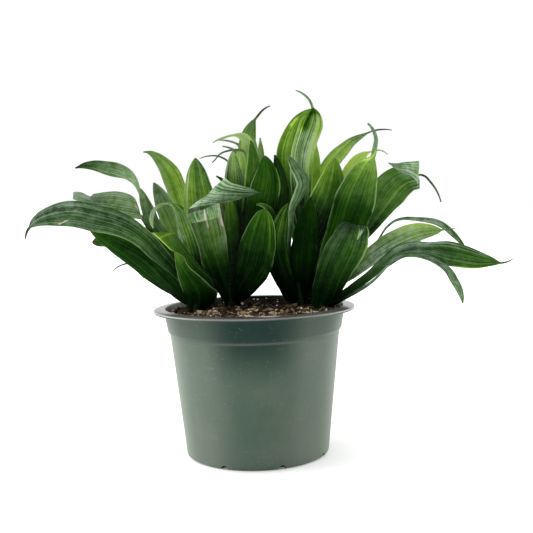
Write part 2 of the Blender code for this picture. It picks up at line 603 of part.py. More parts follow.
def band_inner_radius(height):
    """Inner radius of the pot's upper band at this height."""
    foot = STEP_HEIGHT + STEP_RISE
    share = (height - foot) / (LIP_TOP - BAND_ROUND - foot)
    return BAND_FOOT_RADIUS - WALL + (BAND_TOP_RADIUS - BAND_FOOT_RADIUS) * share


def soil_height(x, y):
    """Height of the soil above its edge: a low crown, lumps from crossed waves, and chips."""
    crown = SOIL_CROWN * np.exp(-((x - CROWN_AT[0]) ** 2 + (y - CROWN_AT[1]) ** 2) / CROWN_SPREAD ** 2)
    lumps = LUMP * (np.sin(0.31 * x + 0.17 * y) * np.cos(0.23 * y - 0.11 * x)
                    + 0.7 * np.sin(0.53 * x - 0.61 * y))
    draw = np.random.default_rng(SEED)
    bearing = draw.uniform(0, 2 * math.pi, CHIPS)
    radius = (BAND_TOP_RADIUS - CHIPS_CLEAR) * np.sqrt(draw.uniform(0.08, 1, CHIPS))
    gap = (x[:, None] - radius * np.cos(bearing)) ** 2 + (y[:, None] - radius * np.sin(bearing)) ** 2
    chips = CHIP_HEIGHT * np.exp(-gap / CHIP_SPREAD ** 2).max(axis=1)
    return crown + lumps + chips


def build_soil(group, cutters, material):
    """The soil that fills the pot, with a plain hole for each cane."""
    inner = band_inner_radius(SOIL_EDGE) - FIT
    rim = inner - 1.0
    profile = [(radius, SOIL_EDGE) for radius in np.linspace(0.0, rim, SOIL_RINGS)]
    profile += [(inner - GAP, SOIL_EDGE - 1.5),
                (BAND_FOOT_RADIUS - WALL - FIT, STEP_HEIGHT + STEP_RISE),
                (BODY_TOP_RADIUS - WALL - FIT, STEP_HEIGHT - GAP),
                (BODY_FOOT_RADIUS - WALL - FIT - 0.5, FOOT_HEIGHT + 0.8),
                (BASE_RADIUS - BASE_ROUND - GAP, FLOOR + GAP),
                (0.0, FLOOR + GAP)]
    soil = turned_body("soil", profile, SOIL_SIDES, group, material)
    mesh = soil.data
    places = np.empty(len(mesh.vertices) * 3)
    mesh.vertices.foreach_get("co", places)
    places = places.reshape(-1, 3) / MM
    top = places[:, 2] > SOIL_EDGE - 0.01
    fade = np.clip((rim - np.hypot(places[:, 0], places[:, 1])) / SOIL_FADE, 0, 1)
    places[:, 2] += np.where(top, soil_height(places[:, 0], places[:, 1]) * fade, 0.0)
    mesh.vertices.foreach_set("co", (places * MM).ravel())
    mesh.update()
    hole_radius = CANE_FOOT_RADIUS + FIT
    for stem in STEMS:
        hole_mesh = cone_mesh("hole", hole_radius, hole_radius, CANE_DEPTH + HOLE_OVERRUN, CANE_SIDES)
        hole = as_cutter(new_object("hole_" + stem.name, hole_mesh, cutters))
        hole.location = (stem.at[0] * MM, stem.at[1] * MM, (SOIL_AT_CANES - CANE_DEPTH - GAP) * MM)
    cut(soil, cutters)
    smooth(soil)
    return soil


def build_blade(leaf, stem, group):
    """One leaf as a closed blade: a grid moved onto its surface, split in triangles, then thickened."""
    narrow = isinstance(leaf, Arch) or (isinstance(leaf, Leaf) and leaf.width <= NARROW)
    columns = NARROW_COLUMNS if narrow else COLUMNS
    points = blade_points(leaf, stem, np.linspace(0, 1, leaf.rows) ** ROW_CROWDING, columns) * MM
    work = bmesh.new()
    bmesh.ops.create_grid(work, x_segments=leaf.rows - 1, y_segments=columns - 1, size=0.5)
    for vertex in work.verts:
        row = round((vertex.co.x + 0.5) * (leaf.rows - 1))
        column = round((vertex.co.y + 0.5) * (columns - 1))
        vertex.co = points[row, column]
    bmesh.ops.triangulate(work, faces=work.faces, quad_method="BEAUTY")
    mesh = bpy.data.meshes.new("blade")
    work.to_mesh(mesh)
    work.free()
    blade = new_object("blade", mesh, group)
    thick = blade.modifiers.new("thickness", "SOLIDIFY")
    thick.thickness = BLADE * MM
    thick.offset = 0.0
    apply_modifiers(blade)
    return blade


def signed_volume(faces):
    """Volume inside a set of triangles; negative where they face inwards."""
    return sum(face.verts[0].co.dot(face.verts[1].co.cross(face.verts[2].co)) for face in faces) / 6.0


def keep_main_body(thing):
    """Fill the hollows that fusing has sealed, and drop loose scraps: only the largest shell stays."""
    work = bmesh.new()
    work.from_mesh(thing.data)
    bmesh.ops.dissolve_limit(work, angle_limit=math.radians(FLAT_ANGLE), verts=work.verts, edges=work.edges)
    bmesh.ops.triangulate(work, faces=work.faces)
    waiting = set(work.faces)
    shells = []
    while waiting:
        shell = set()
        front = [waiting.pop()]
        while front:
            face = front.pop()
            shell.add(face)
            for edge in face.edges:
                for neighbour in edge.link_faces:
                    if neighbour in waiting:
                        waiting.discard(neighbour)
                        front.append(neighbour)
        shells.append(shell)
    main = max(shells, key=signed_volume)
    dropped = [face for shell in shells if shell is not main for face in shell]
    bmesh.ops.delete(work, geom=dropped, context="FACES")
    work.to_mesh(thing.data)
    work.free()


def build_stem(stem, group, material):
    """A cane with its leaves fused to it as one solid."""
    cane_mesh = cone_mesh(stem.name, CANE_FOOT_RADIUS, CANE_TIP_RADIUS, CANE_DEPTH + CANE_HEIGHT, CANE_SIDES)
    cane = new_object(stem.name, cane_mesh, group, material)
    cane.location = (stem.at[0] * MM, stem.at[1] * MM, (SOIL_AT_CANES - CANE_DEPTH) * MM)
    blades = new_collection("blades of " + stem.name)
    for leaf in stem.leaves:
        build_blade(leaf, stem, blades)
    union = cane.modifiers.new("leaves", "BOOLEAN")
    union.operation = "UNION"
    union.solver = "EXACT"
    union.operand_type = "COLLECTION"
    union.collection = blades
    bpy.context.view_layer.update()
    apply_modifiers(cane)
    for blade in list(blades.objects):
        bpy.data.objects.remove(blade, do_unlink=True)
    bpy.data.collections.remove(blades)
    keep_main_body(cane)
    smooth(cane)
    return cane


def main():
    """Build the pot, the soil and the leafy canes."""
    clear_scene()
    plant = new_collection("potted_dracaena")
    notches = new_collection("notch cutters")
    holes = new_collection("hole cutters")
    plastic = new_material("green plastic", (0.085, 0.125, 0.095), 0.45)
    peat = new_material("peat and bark", (0.045, 0.032, 0.024), 0.95)
    leaf_green = new_material("leaf green", (0.035, 0.11, 0.02), 0.35)
    build_pot(plant, notches, plastic)
    build_soil(plant, holes, peat)
    for stem in STEMS:
        build_stem(stem, plant, leaf_green)


main()
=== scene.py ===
"""The finished look of a potted dracaena: leaves, canes, soil, pot, studio and camera.

Sizes are in millimetres, and meshes are written in metres, +Z up. The origin is the middle of
the pot's underside, and the plant is looked at along +Y. Every leaf is a thin blade carried
along a route, as in the solids, with more rows and columns and with its fine relief.
"""
from __future__ import annotations

import json
import logging
import math
from dataclasses import dataclass, field
from enum import Enum
from typing import Any, Union

import bpy
import numpy as np
from mathutils import Matrix, Vector

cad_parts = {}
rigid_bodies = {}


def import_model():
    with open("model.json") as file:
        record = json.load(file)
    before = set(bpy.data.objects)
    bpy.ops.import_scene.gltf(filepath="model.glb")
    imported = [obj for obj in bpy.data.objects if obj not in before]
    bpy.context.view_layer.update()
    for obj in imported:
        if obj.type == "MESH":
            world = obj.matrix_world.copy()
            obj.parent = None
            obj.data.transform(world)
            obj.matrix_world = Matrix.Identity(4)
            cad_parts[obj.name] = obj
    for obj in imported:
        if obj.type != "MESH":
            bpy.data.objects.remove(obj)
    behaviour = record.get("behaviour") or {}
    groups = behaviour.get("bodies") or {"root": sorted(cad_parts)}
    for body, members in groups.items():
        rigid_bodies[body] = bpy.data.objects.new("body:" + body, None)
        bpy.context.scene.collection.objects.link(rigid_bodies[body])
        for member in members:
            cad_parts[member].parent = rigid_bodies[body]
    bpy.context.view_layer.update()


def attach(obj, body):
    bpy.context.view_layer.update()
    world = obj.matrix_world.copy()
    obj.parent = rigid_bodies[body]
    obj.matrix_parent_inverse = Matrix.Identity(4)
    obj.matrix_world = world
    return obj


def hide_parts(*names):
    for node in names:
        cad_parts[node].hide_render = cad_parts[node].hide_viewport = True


LOG = logging.getLogger("dracaena")
MM = 0.001
BODY = "root"
EYE = np.array([0.0, -700.0, 204.0])
SOIL_AT_CANES = 119.0
LITTER_SEED = 23
MOUND_SEED = 11
SHARP_ANGLE = math.radians(50)
ROUTE_SAMPLES = 160
NOISE_MIDDLE = 0.5
TINY = 0.000001

Array = np.ndarray
Number = Union[int, float]


def unit(vectors: Array) -> Array:
    """Each row scaled to length one."""
    return vectors / (np.linalg.norm(vectors, axis=-1, keepdims=True) + 1e-9)


def smooth_step(low: float, high: float, x: Array) -> Array:
    """Rises from 0 at low to 1 at high along the curve 3t squared minus 2t cubed."""
    t = np.clip((x - low) / (high - low), 0, 1)
    return t * t * (3 - 2 * t)


def seen_point(across: float, up: float, depth: float) -> Array:
    """Point at a depth on the line of sight to a point of the upright plane through the pot's axis.

    Args:
        across: place on that plane to the right of the axis.
        up: height on that plane.
        depth: how far behind the plane the point stands.

    Returns:
        The point: the eye plus the sight line, stretched until it reaches the depth.
    """
    flat = np.array([across, 0.0, up])
    return EYE + (flat - EYE) * (depth - EYE[1]) / -EYE[1]


def cubic(points: Array, knots: Array, count: int) -> Array:
    """Cubic pieces through points, with slopes taken from their neighbours.

    Args:
        points: the points, one a row.
        knots: the curve's parameter at each point.
        count: how many points to return.

    Returns:
        Points of the curve at even steps of its parameter.
    """
    points = np.asarray(points, float)
    slopes = np.gradient(points, knots, axis=0, edge_order=2 if len(points) > 2 else 1)
    where = np.linspace(knots[0], knots[-1], count)
    piece = np.clip(np.searchsorted(knots, where, side="right") - 1, 0, len(points) - 2)
    span = (knots[piece + 1] - knots[piece])[:, None]
    f = (where - knots[piece])[:, None] / span
    start, end = points[piece], points[piece + 1]
    return ((1 + 2 * f) * (1 - f) ** 2 * start + f * (1 - f) ** 2 * span * slopes[piece]
            + f * f * (3 - 2 * f) * end + f * f * (f - 1) * span * slopes[piece + 1])


def chord_lengths(points: Array) -> Array:
    """Running length along the points."""
    steps = np.linalg.norm(np.diff(np.asarray(points, float), axis=0), axis=1)
    return np.concatenate(([0.0], np.cumsum(steps)))


def smooth_route(points: list, count: int) -> Array:
    """A smooth curve through the points, read at even steps of its length.

    Args:
        points: the route's points.
        count: how many points to return.

    Returns:
        The curve's points, one a row.
    """
    fine = cubic(points, chord_lengths(points), ROUTE_SAMPLES)
    along = chord_lengths(fine)
    at = np.linspace(0.0, along[-1], count)
    return np.stack([np.interp(at, along, fine[:, axis]) for axis in range(3)], axis=1)


@dataclass
class Surface:
    """A mesh held as arrays.

    points are in millimetres, one a row. faces are arrays of point numbers, one for each number
    of corners. values are named numbers for each point, and uv is a place on the unit square
    for each point.
    """
    points: Array
    faces: list
    values: dict = field(default_factory=dict)
    uv: Array | None = None
    slot: int = 0

    def to_object(self, name: str, materials: list) -> bpy.types.Object:
        """Put the surface alone into a new object of that name."""
        return join_surfaces([self], name, materials)


def join_surfaces(parts: list, name: str, materials: list) -> bpy.types.Object:
    """One smooth-shaded object of several surfaces.

    Args:
        parts: the surfaces; each names its material by slot.
        name: the object's name.
        materials: the object's material slots.

    Returns:
        The object, linked to the scene, with its place in its mesh.
    """
    starts = np.cumsum([0] + [len(part.points) for part in parts])
    points = np.concatenate([part.points for part in parts]) * MM
    faces = [(face + start, part.slot) for part, start in zip(parts, starts) for face in part.faces]
    corners = np.concatenate([face.ravel() for face, _ in faces]).astype(np.int32)
    sizes = np.concatenate([np.full(len(face), face.shape[1]) for face, _ in faces])
    slots = np.concatenate([np.full(len(face), slot) for face, slot in faces]).astype(np.int32)
    mesh = bpy.data.meshes.new(name)
    mesh.vertices.add(len(points))
    mesh.vertices.foreach_set("co", points.astype(np.float32).ravel())
    mesh.loops.add(len(corners))
    mesh.loops.foreach_set("vertex_index", corners)
    mesh.polygons.add(len(sizes))
    loop_starts = np.concatenate(([0], np.cumsum(sizes)[:-1])).astype(np.int32)
    mesh.polygons.foreach_set("loop_start", loop_starts)
    mesh.polygons.foreach_set("material_index", slots)
    mesh.update(calc_edges=True)
    for key in sorted({key for part in parts for key in part.values}):
        column = [np.broadcast_to(part.values.get(key, 0.0), len(part.points)) for part in parts]
        attribute = mesh.attributes.new(key, "FLOAT", "POINT")
        attribute.data.foreach_set("value", np.concatenate(column).astype(np.float32))
    if any(part.uv is not None for part in parts):
        blank = [part.uv if part.uv is not None else np.zeros((len(part.points), 2)) for part in parts]
        layer = mesh.uv_layers.new(name="blade")
        layer.data.foreach_set("uv", np.concatenate(blank)[corners].astype(np.float32).ravel())
    for material in materials:
        mesh.materials.append(material)
    mesh.shade_smooth()
    mesh.set_sharp_from_angle(angle=SHARP_ANGLE)
    thing = bpy.data.objects.new(name, mesh)
    bpy.context.scene.collection.objects.link(thing)
    return thing


def ring_faces(rows: int, ring: int) -> Array:
    """Four-cornered faces of a tube of rows of points, each row closed round the tube.

    Args:
        rows: how many rows.
        ring: points in a row.

    Returns:
        Four point numbers for each face.
    """
    row, k = np.meshgrid(np.arange(rows - 1), np.arange(ring), indexing="ij")
    ahead = (k + 1) % ring
    faces = [row * ring + k, (row + 1) * ring + k, (row + 1) * ring + ahead, row * ring + ahead]
    return np.stack(faces, axis=-1).reshape(-1, 4)


def turned(profile: Array, sides: int, slot: int = 0) -> Surface:
    """A body of revolution: each profile point (radius, height) swept round Z.

    Args:
        profile: points from the axis up the inside and down the outside; the first and the last
            lie on the axis and become poles.
        sides: steps round.
        slot: material slot.

    Returns:
        The closed surface, its faces pointing out.
    """
    angle = np.linspace(0, 2 * math.pi, sides, endpoint=False)
    inner = profile[1:-1]
    rings = np.stack([inner[:, :1] * np.cos(angle), inner[:, :1] * np.sin(angle),
                      np.broadcast_to(inner[:, 1:], (len(inner), sides))], axis=-1)
    poles = np.array([[0, 0, profile[0, 1]], [0, 0, profile[-1, 1]]])
    points = np.concatenate([rings.reshape(-1, 3), poles])
    k = np.arange(sides)
    ahead = (k + 1) % sides
    last = (len(inner) - 1) * sides
    first_pole = np.stack([k, ahead, np.full(sides, len(points) - 2)], axis=-1)
    last_pole = np.stack([last + ahead, last + k, np.full(sides, len(points) - 1)], axis=-1)
    quads = ring_faces(len(inner), sides)
    return Surface(points, [quads, np.concatenate([first_pole, last_pole])], slot=slot)


def rounded(corners: list, steps: int = 6) -> Array:
    """A polyline whose corners are arcs.

    Each corner (x, y, radius) becomes an arc that touches both of its sides, as a quadratic
    curve from one touching point to the other. A radius of 0 keeps the corner.

    Args:
        corners: the corners in order.
        steps: points for each arc.

    Returns:
        The points of the rounded line.
    """
    line = [np.array(corners[0][:2], float)]
    for before, corner, after in zip(corners, corners[1:], corners[2:]):
        here = np.array(corner[:2], float)
        back, ahead = np.array(before[:2]) - here, np.array(after[:2]) - here
        reach = min(corner[2], np.linalg.norm(back) / 2, np.linalg.norm(ahead) / 2)
        t = np.linspace(0, 1, steps if reach > 0 else 1)[:, None]
        start, end = here + unit(back) * reach, here + unit(ahead) * reach
        line.extend((1 - t) ** 2 * start + 2 * t * (1 - t) * here + t * t * end)
    line.append(np.array(corners[-1][:2], float))
    return np.array(line)


def finish_piece(thing: bpy.types.Object, slot: str, *nodes: str) -> None:
    """Let a piece ride on the body, and hide and log the nodes that it stands for.

    Args:
        thing: the piece.
        slot: not used.
        nodes: the nodes that it stands for.
    """
    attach(thing, BODY)
    if nodes:
        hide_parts(*nodes)
    faces = len(thing.data.polygons)
    LOG.info("%s: %d faces, stands for %s", thing.name, faces, ", ".join(nodes) or "nothing")


class Value:
    """A socket that takes part in Python expressions; each operation adds a Math node."""

    def __init__(self, graph: "Graph", socket: bpy.types.NodeSocket) -> None:
        """Wrap a socket of the graph."""
        self.graph = graph
        self.socket = socket

    def apply(self, operation: str, *others: Any) -> "Value":
        """A Math node of this operation, with this value first."""
        terms = dict(enumerate((self, *others)))
        return self.graph.value("ShaderNodeMath", {"operation": operation}, terms)

    def reflect(self, operation: str, first: Number) -> "Value":
        """A Math node of this operation, with this value second."""
        return self.graph.value("ShaderNodeMath", {"operation": operation}, {0: first, 1: self})

    def __add__(self, other: Any) -> "Value":
        """Sum."""
        return self.apply("ADD", other)

    __radd__ = __add__

    def __sub__(self, other: Any) -> "Value":
        """Difference."""
        return self.apply("SUBTRACT", other)

    def __rsub__(self, other: Number) -> "Value":
        """Difference from a number."""
        return self.reflect("SUBTRACT", other)

    def __mul__(self, other: Any) -> "Value":
        """Product."""
        return self.apply("MULTIPLY", other)

    __rmul__ = __mul__

    def __truediv__(self, other: Any) -> "Value":
        """Quotient."""
        return self.apply("DIVIDE", other)

    def __rtruediv__(self, other: Number) -> "Value":
        """A number over this value."""
        return self.reflect("DIVIDE", other)

    def __pow__(self, other: Any) -> "Value":
        """Power."""
        return self.apply("POWER", other)

    def __abs__(self) -> "Value":
        """Size without sign."""
        return self.apply("ABSOLUTE")

    def step(self, low: float, high: float) -> "Value":
        """Rises smoothly from 0 at low to 1 at high, or falls where low is the larger.

        Args:
            low: where it is 0.
            high: where it is 1.

        Returns:
            The stepped value.
        """
        if low > high:
            return 1 - self.step(high, low)
        sockets = {"Value": self, "From Min": low, "From Max": high}
        return self.graph.value("ShaderNodeMapRange", {"interpolation_type": "SMOOTHSTEP"}, sockets)

    def swing(self, amount: Any) -> "Value":
        """A noise taken about its middle, times an amount."""
        return (self - NOISE_MIDDLE) * amount


class Graph:
    """Adds nodes to a node tree and links them."""

    def __init__(self, tree: bpy.types.NodeTree) -> None:
        """Start with an empty tree."""
        self.tree = tree
        tree.nodes.clear()

    def node(self, kind: str, settings: dict | None = None, sockets: dict | None = None) -> bpy.types.Node:
        """Add one node.

        Args:
            kind: the node's type.
            settings: its properties, set first; "stops" holds a ramp's places and colours.
            sockets: input names or numbers with a number, a colour, a socket or a Value.

        Returns:
            The node.
        """
        made = self.tree.nodes.new(kind)
        for key, setting in (settings or {}).items():
            if key == "stops":
                self.set_stops(made.color_ramp, setting)
            else:
                setattr(made, key, setting)
        for key, given in (sockets or {}).items():
            source = given.socket if isinstance(given, Value) else given
            if isinstance(source, bpy.types.NodeSocket):
                self.tree.links.new(source, made.inputs[key])
            else:
                made.inputs[key].default_value = source
        return made

    @staticmethod
    def set_stops(ramp: bpy.types.ColorRamp, stops: tuple) -> None:
        """Give a ramp its places and colours.

        Args:
            ramp: the ramp.
            stops: pairs of a place from 0 to 1 and a colour.
        """
        while len(ramp.elements) < len(stops):
            ramp.elements.new(1.0)
        for element, (place, colour) in zip(ramp.elements, stops):
            element.position = place
            element.color = (*colour, 1.0)

    def value(self, kind: str, settings: dict | None = None, sockets: dict | None = None,
              output: int | str = 0) -> Value:
        """Add one node and wrap one of its outputs."""
        return Value(self, self.node(kind, settings, sockets).outputs[output])

    def attribute(self, name: str) -> Value:
        """The number that the mesh holds for each point under this name."""
        return self.value("ShaderNodeAttribute", {"attribute_name": name}, output="Fac")

    def place(self) -> Value:
        """Where the point is on the object, in metres."""
        return self.value("ShaderNodeTexCoord", output="Object")

    def axes(self, vector: Value) -> tuple:
        """The three numbers of a vector."""
        split = self.node("ShaderNodeSeparateXYZ", None, {0: vector})
        return tuple(Value(self, socket) for socket in split.outputs)

    def vector(self, x: Any, y: Any, z: Any) -> Value:
        """A vector of three numbers or values."""
        return self.value("ShaderNodeCombineXYZ", None, {0: x, 1: y, 2: z})

    def noise(self, where: Value, scale: float, detail: float = 2.0, rough: float = 0.5) -> Value:
        """Cloudy noise from 0 to 1, about 0.5 in the middle."""
        sockets = {"Vector": where, "Scale": scale, "Detail": detail, "Roughness": rough}
        return self.value("ShaderNodeTexNoise", None, sockets)

    def mix(self, share: Any, low: Any, high: Any) -> Value:
        """A colour between two colours."""
        sockets = {0: share, 6: self.colour(low), 7: self.colour(high)}
        return self.value("ShaderNodeMix", {"data_type": "RGBA"}, sockets, output=2)

    @staticmethod
    def colour(given: Any) -> Any:
        """A colour of three numbers gets its fourth; a value stays."""
        return (*given, 1.0) if isinstance(given, tuple) and len(given) == 3 else given

    def bump(self, height: Value, distance: float, strength: float = 1.0) -> Value:
        """Surface relief of a height from 0 to 1, in metres at full height."""
        sockets = {"Strength": strength, "Distance": distance, "Height": height}
        return self.value("ShaderNodeBump", None, sockets)


@dataclass(frozen=True)
class Finish:
    """A material: its name and how it is made. Each kind of finish fills in surface()."""
    name: str

    def make(self) -> bpy.types.Material:
        """Build the material.

        Returns:
            A material whose shader surface() has fed.
        """
        material = bpy.data.materials.new(self.name)
        material.use_nodes = True
        graph = Graph(material.node_tree)
        feeds = {key: graph.colour(given) for key, given in self.surface(graph).items()}
        shader = graph.node("ShaderNodeBsdfPrincipled", None, feeds)
        graph.node("ShaderNodeOutputMaterial", None, {"Surface": shader.outputs[0]})
        return material

    def surface(self, graph: Graph) -> dict:
        """What feeds the shader's sockets, by socket name."""
        raise NotImplementedError


@dataclass(frozen=True)
class LeafFinish(Finish):
    """Living leaf: green by its tone, streaked along its veins, with a pale waxy coat that also stands for
    painted sheen, a pale margin that is partly a painted edge highlight, and a dry tip.

    Bands, streaks and veins are noise stretched along the blade, so each counts far more across
    it than along it. The bands are the widest of them and the veins the finest.
    """
    name: str = "living leaf"
    greens: tuple = ((0.00, (0.0006, 0.0030, 0.0008)), (0.20, (0.0025, 0.0170, 0.0012)),
                     (0.40, (0.0140, 0.0600, 0.0035)), (0.60, (0.0600, 0.1500, 0.0110)),
                     (0.80, (0.1700, 0.3200, 0.0270)), (1.00, (0.4700, 0.7000, 0.1000)))
    # Pale waxy coat; it also stands for painted sheen.
    wax_and_sheen_colour: tuple = (0.36, 0.47, 0.36)
    # Pale margin; partly a painted edge highlight.
    margin: tuple = (0.34, 0.46, 0.24)
    dried: tuple = (0.060, 0.055, 0.032)
    scarred: tuple = (0.62, 0.54, 0.40)
    band_counts: tuple = (5.0, 0.9)
    streak_counts: tuple = (19.0, 1.6)
    vein_counts: tuple = (44.0, 1.6)
    mottle_scale: float = 160.0
    mottle_swing: float = 0.26
    blotch_scale: float = 26.0
    blotch_swing: float = 0.30
    dust_and_sheen_least: float = 0.12
    dust_and_sheen_more: float = 1.5
    margin_from: float = 0.90
    margin_full: float = 0.98
    roughness: float = 0.36
    relief_height: float = 0.30 * MM
    gloss: float = 0.012

    def surface(self, graph: Graph) -> dict:
        """Colour, roughness and relief of the leaf.

        Args:
            graph: takes the nodes.

        Returns:
            What feeds the shader's sockets, by socket name.
        """
        across, along, _ = graph.axes(graph.value("ShaderNodeUVMap", {"uv_map": "blade"}))
        tone, bloom, streak, dry, upper, scar, number = (
            graph.attribute(key) for key in ("tone", "bloom", "streak", "dry", "upper", "scar", "number"))
        bands, streaks, veins = (
            graph.noise(graph.vector(across * counts[0], along * counts[1], seed), 1.0, detail, rough)
            for counts, seed, detail, rough in ((self.band_counts, number, 1.0, 0.5),
                                                (self.streak_counts, number + 3, 2.0, 0.6),
                                                (self.vein_counts, number + 7, 1.0, 0.5)))
        mottle = graph.noise(graph.place(), self.mottle_scale, 4.0, 0.65)
        blotch = graph.noise(graph.place(), self.blotch_scale, 2.0)
        lit = (tone + bands.swing(streak) + streaks.swing(streak * 1.2) + veins.swing(streak * 0.8 + 0.1)
               + mottle.swing(self.mottle_swing) + blotch.swing(self.blotch_swing))
        green = graph.value("ShaderNodeValToRGB", {"stops": self.greens}, {0: lit})
        # The waxy coat gathers in streaks; this pale paint is partly painted sheen.
        dust_and_sheen = (streaks * 0.45 + veins * 0.25 + mottle * 0.30).step(0.42, 0.60)
        waxed_and_sheened = graph.mix(bloom * (dust_and_sheen * self.dust_and_sheen_more + self.dust_and_sheen_least), green, self.wax_and_sheen_colour)
        # Pale margin, stronger on lighter leaves: partly real, partly a painted edge highlight.
        edge = (abs(across - 0.5) * 2).step(self.margin_from, self.margin_full)
        rim = edge * lit.step(0.15, 0.50) * (blotch.step(0.35, 0.65) * 0.55 + 0.10)
        margined_and_highlighted = graph.mix(rim, waxed_and_sheened, self.margin)
        withered = graph.mix((dry + mottle.swing(dry)).step(0.15, 0.75), margined_and_highlighted, self.dried)
        marked = graph.mix((scar + mottle.swing(scar * 1.2)).step(0.25, 0.6), withered, self.scarred)
        roughness = self.roughness + (1 - upper) * 0.12 + mottle.swing(0.16) + dry * 0.3 + bloom * 0.1
        relief = veins * 0.45 + streaks * 0.35 + mottle * 0.2
        return {"Base Color": marked, "Roughness": roughness, "Specular IOR Level": self.gloss,
                "Normal": graph.bump(relief, self.relief_height, 0.7)}


@dataclass(frozen=True)
class CaneFinish(Finish):
    """Young cane wrapped in leaf sheaths: dark green, ringed where sheaths end."""
    name: str = "young cane"
    shaded: tuple = (0.001, 0.004, 0.001)
    lit: tuple = (0.010, 0.028, 0.005)
    ring: tuple = (0.010, 0.009, 0.004)
    streaks_round: float = 900.0
    streaks_up: float = 40.0
    ring_turns: float = 2100.0

    def surface(self, graph: Graph) -> dict:
        """Upright streaks with fine rings: a sine of the height.

        Args:
            graph: takes the nodes.

        Returns:
            What feeds the shader's sockets, by socket name.
        """
        x, y, z = graph.axes(graph.place())
        stretched = graph.vector(x * self.streaks_round, y * self.streaks_round, z * self.streaks_up)
        streaks = graph.noise(stretched, 1.0, 3.0)
        rings = (z * self.ring_turns).apply("SINE").step(0.4, 1.0)
        colour = graph.mix(streaks.step(0.35, 0.75), self.shaded, self.lit)
        return {"Base Color": graph.mix(rings * 0.5, colour, self.ring), "Roughness": 0.6,
                "Specular IOR Level": 0.03, "Normal": graph.bump(streaks, 0.3 * MM)}


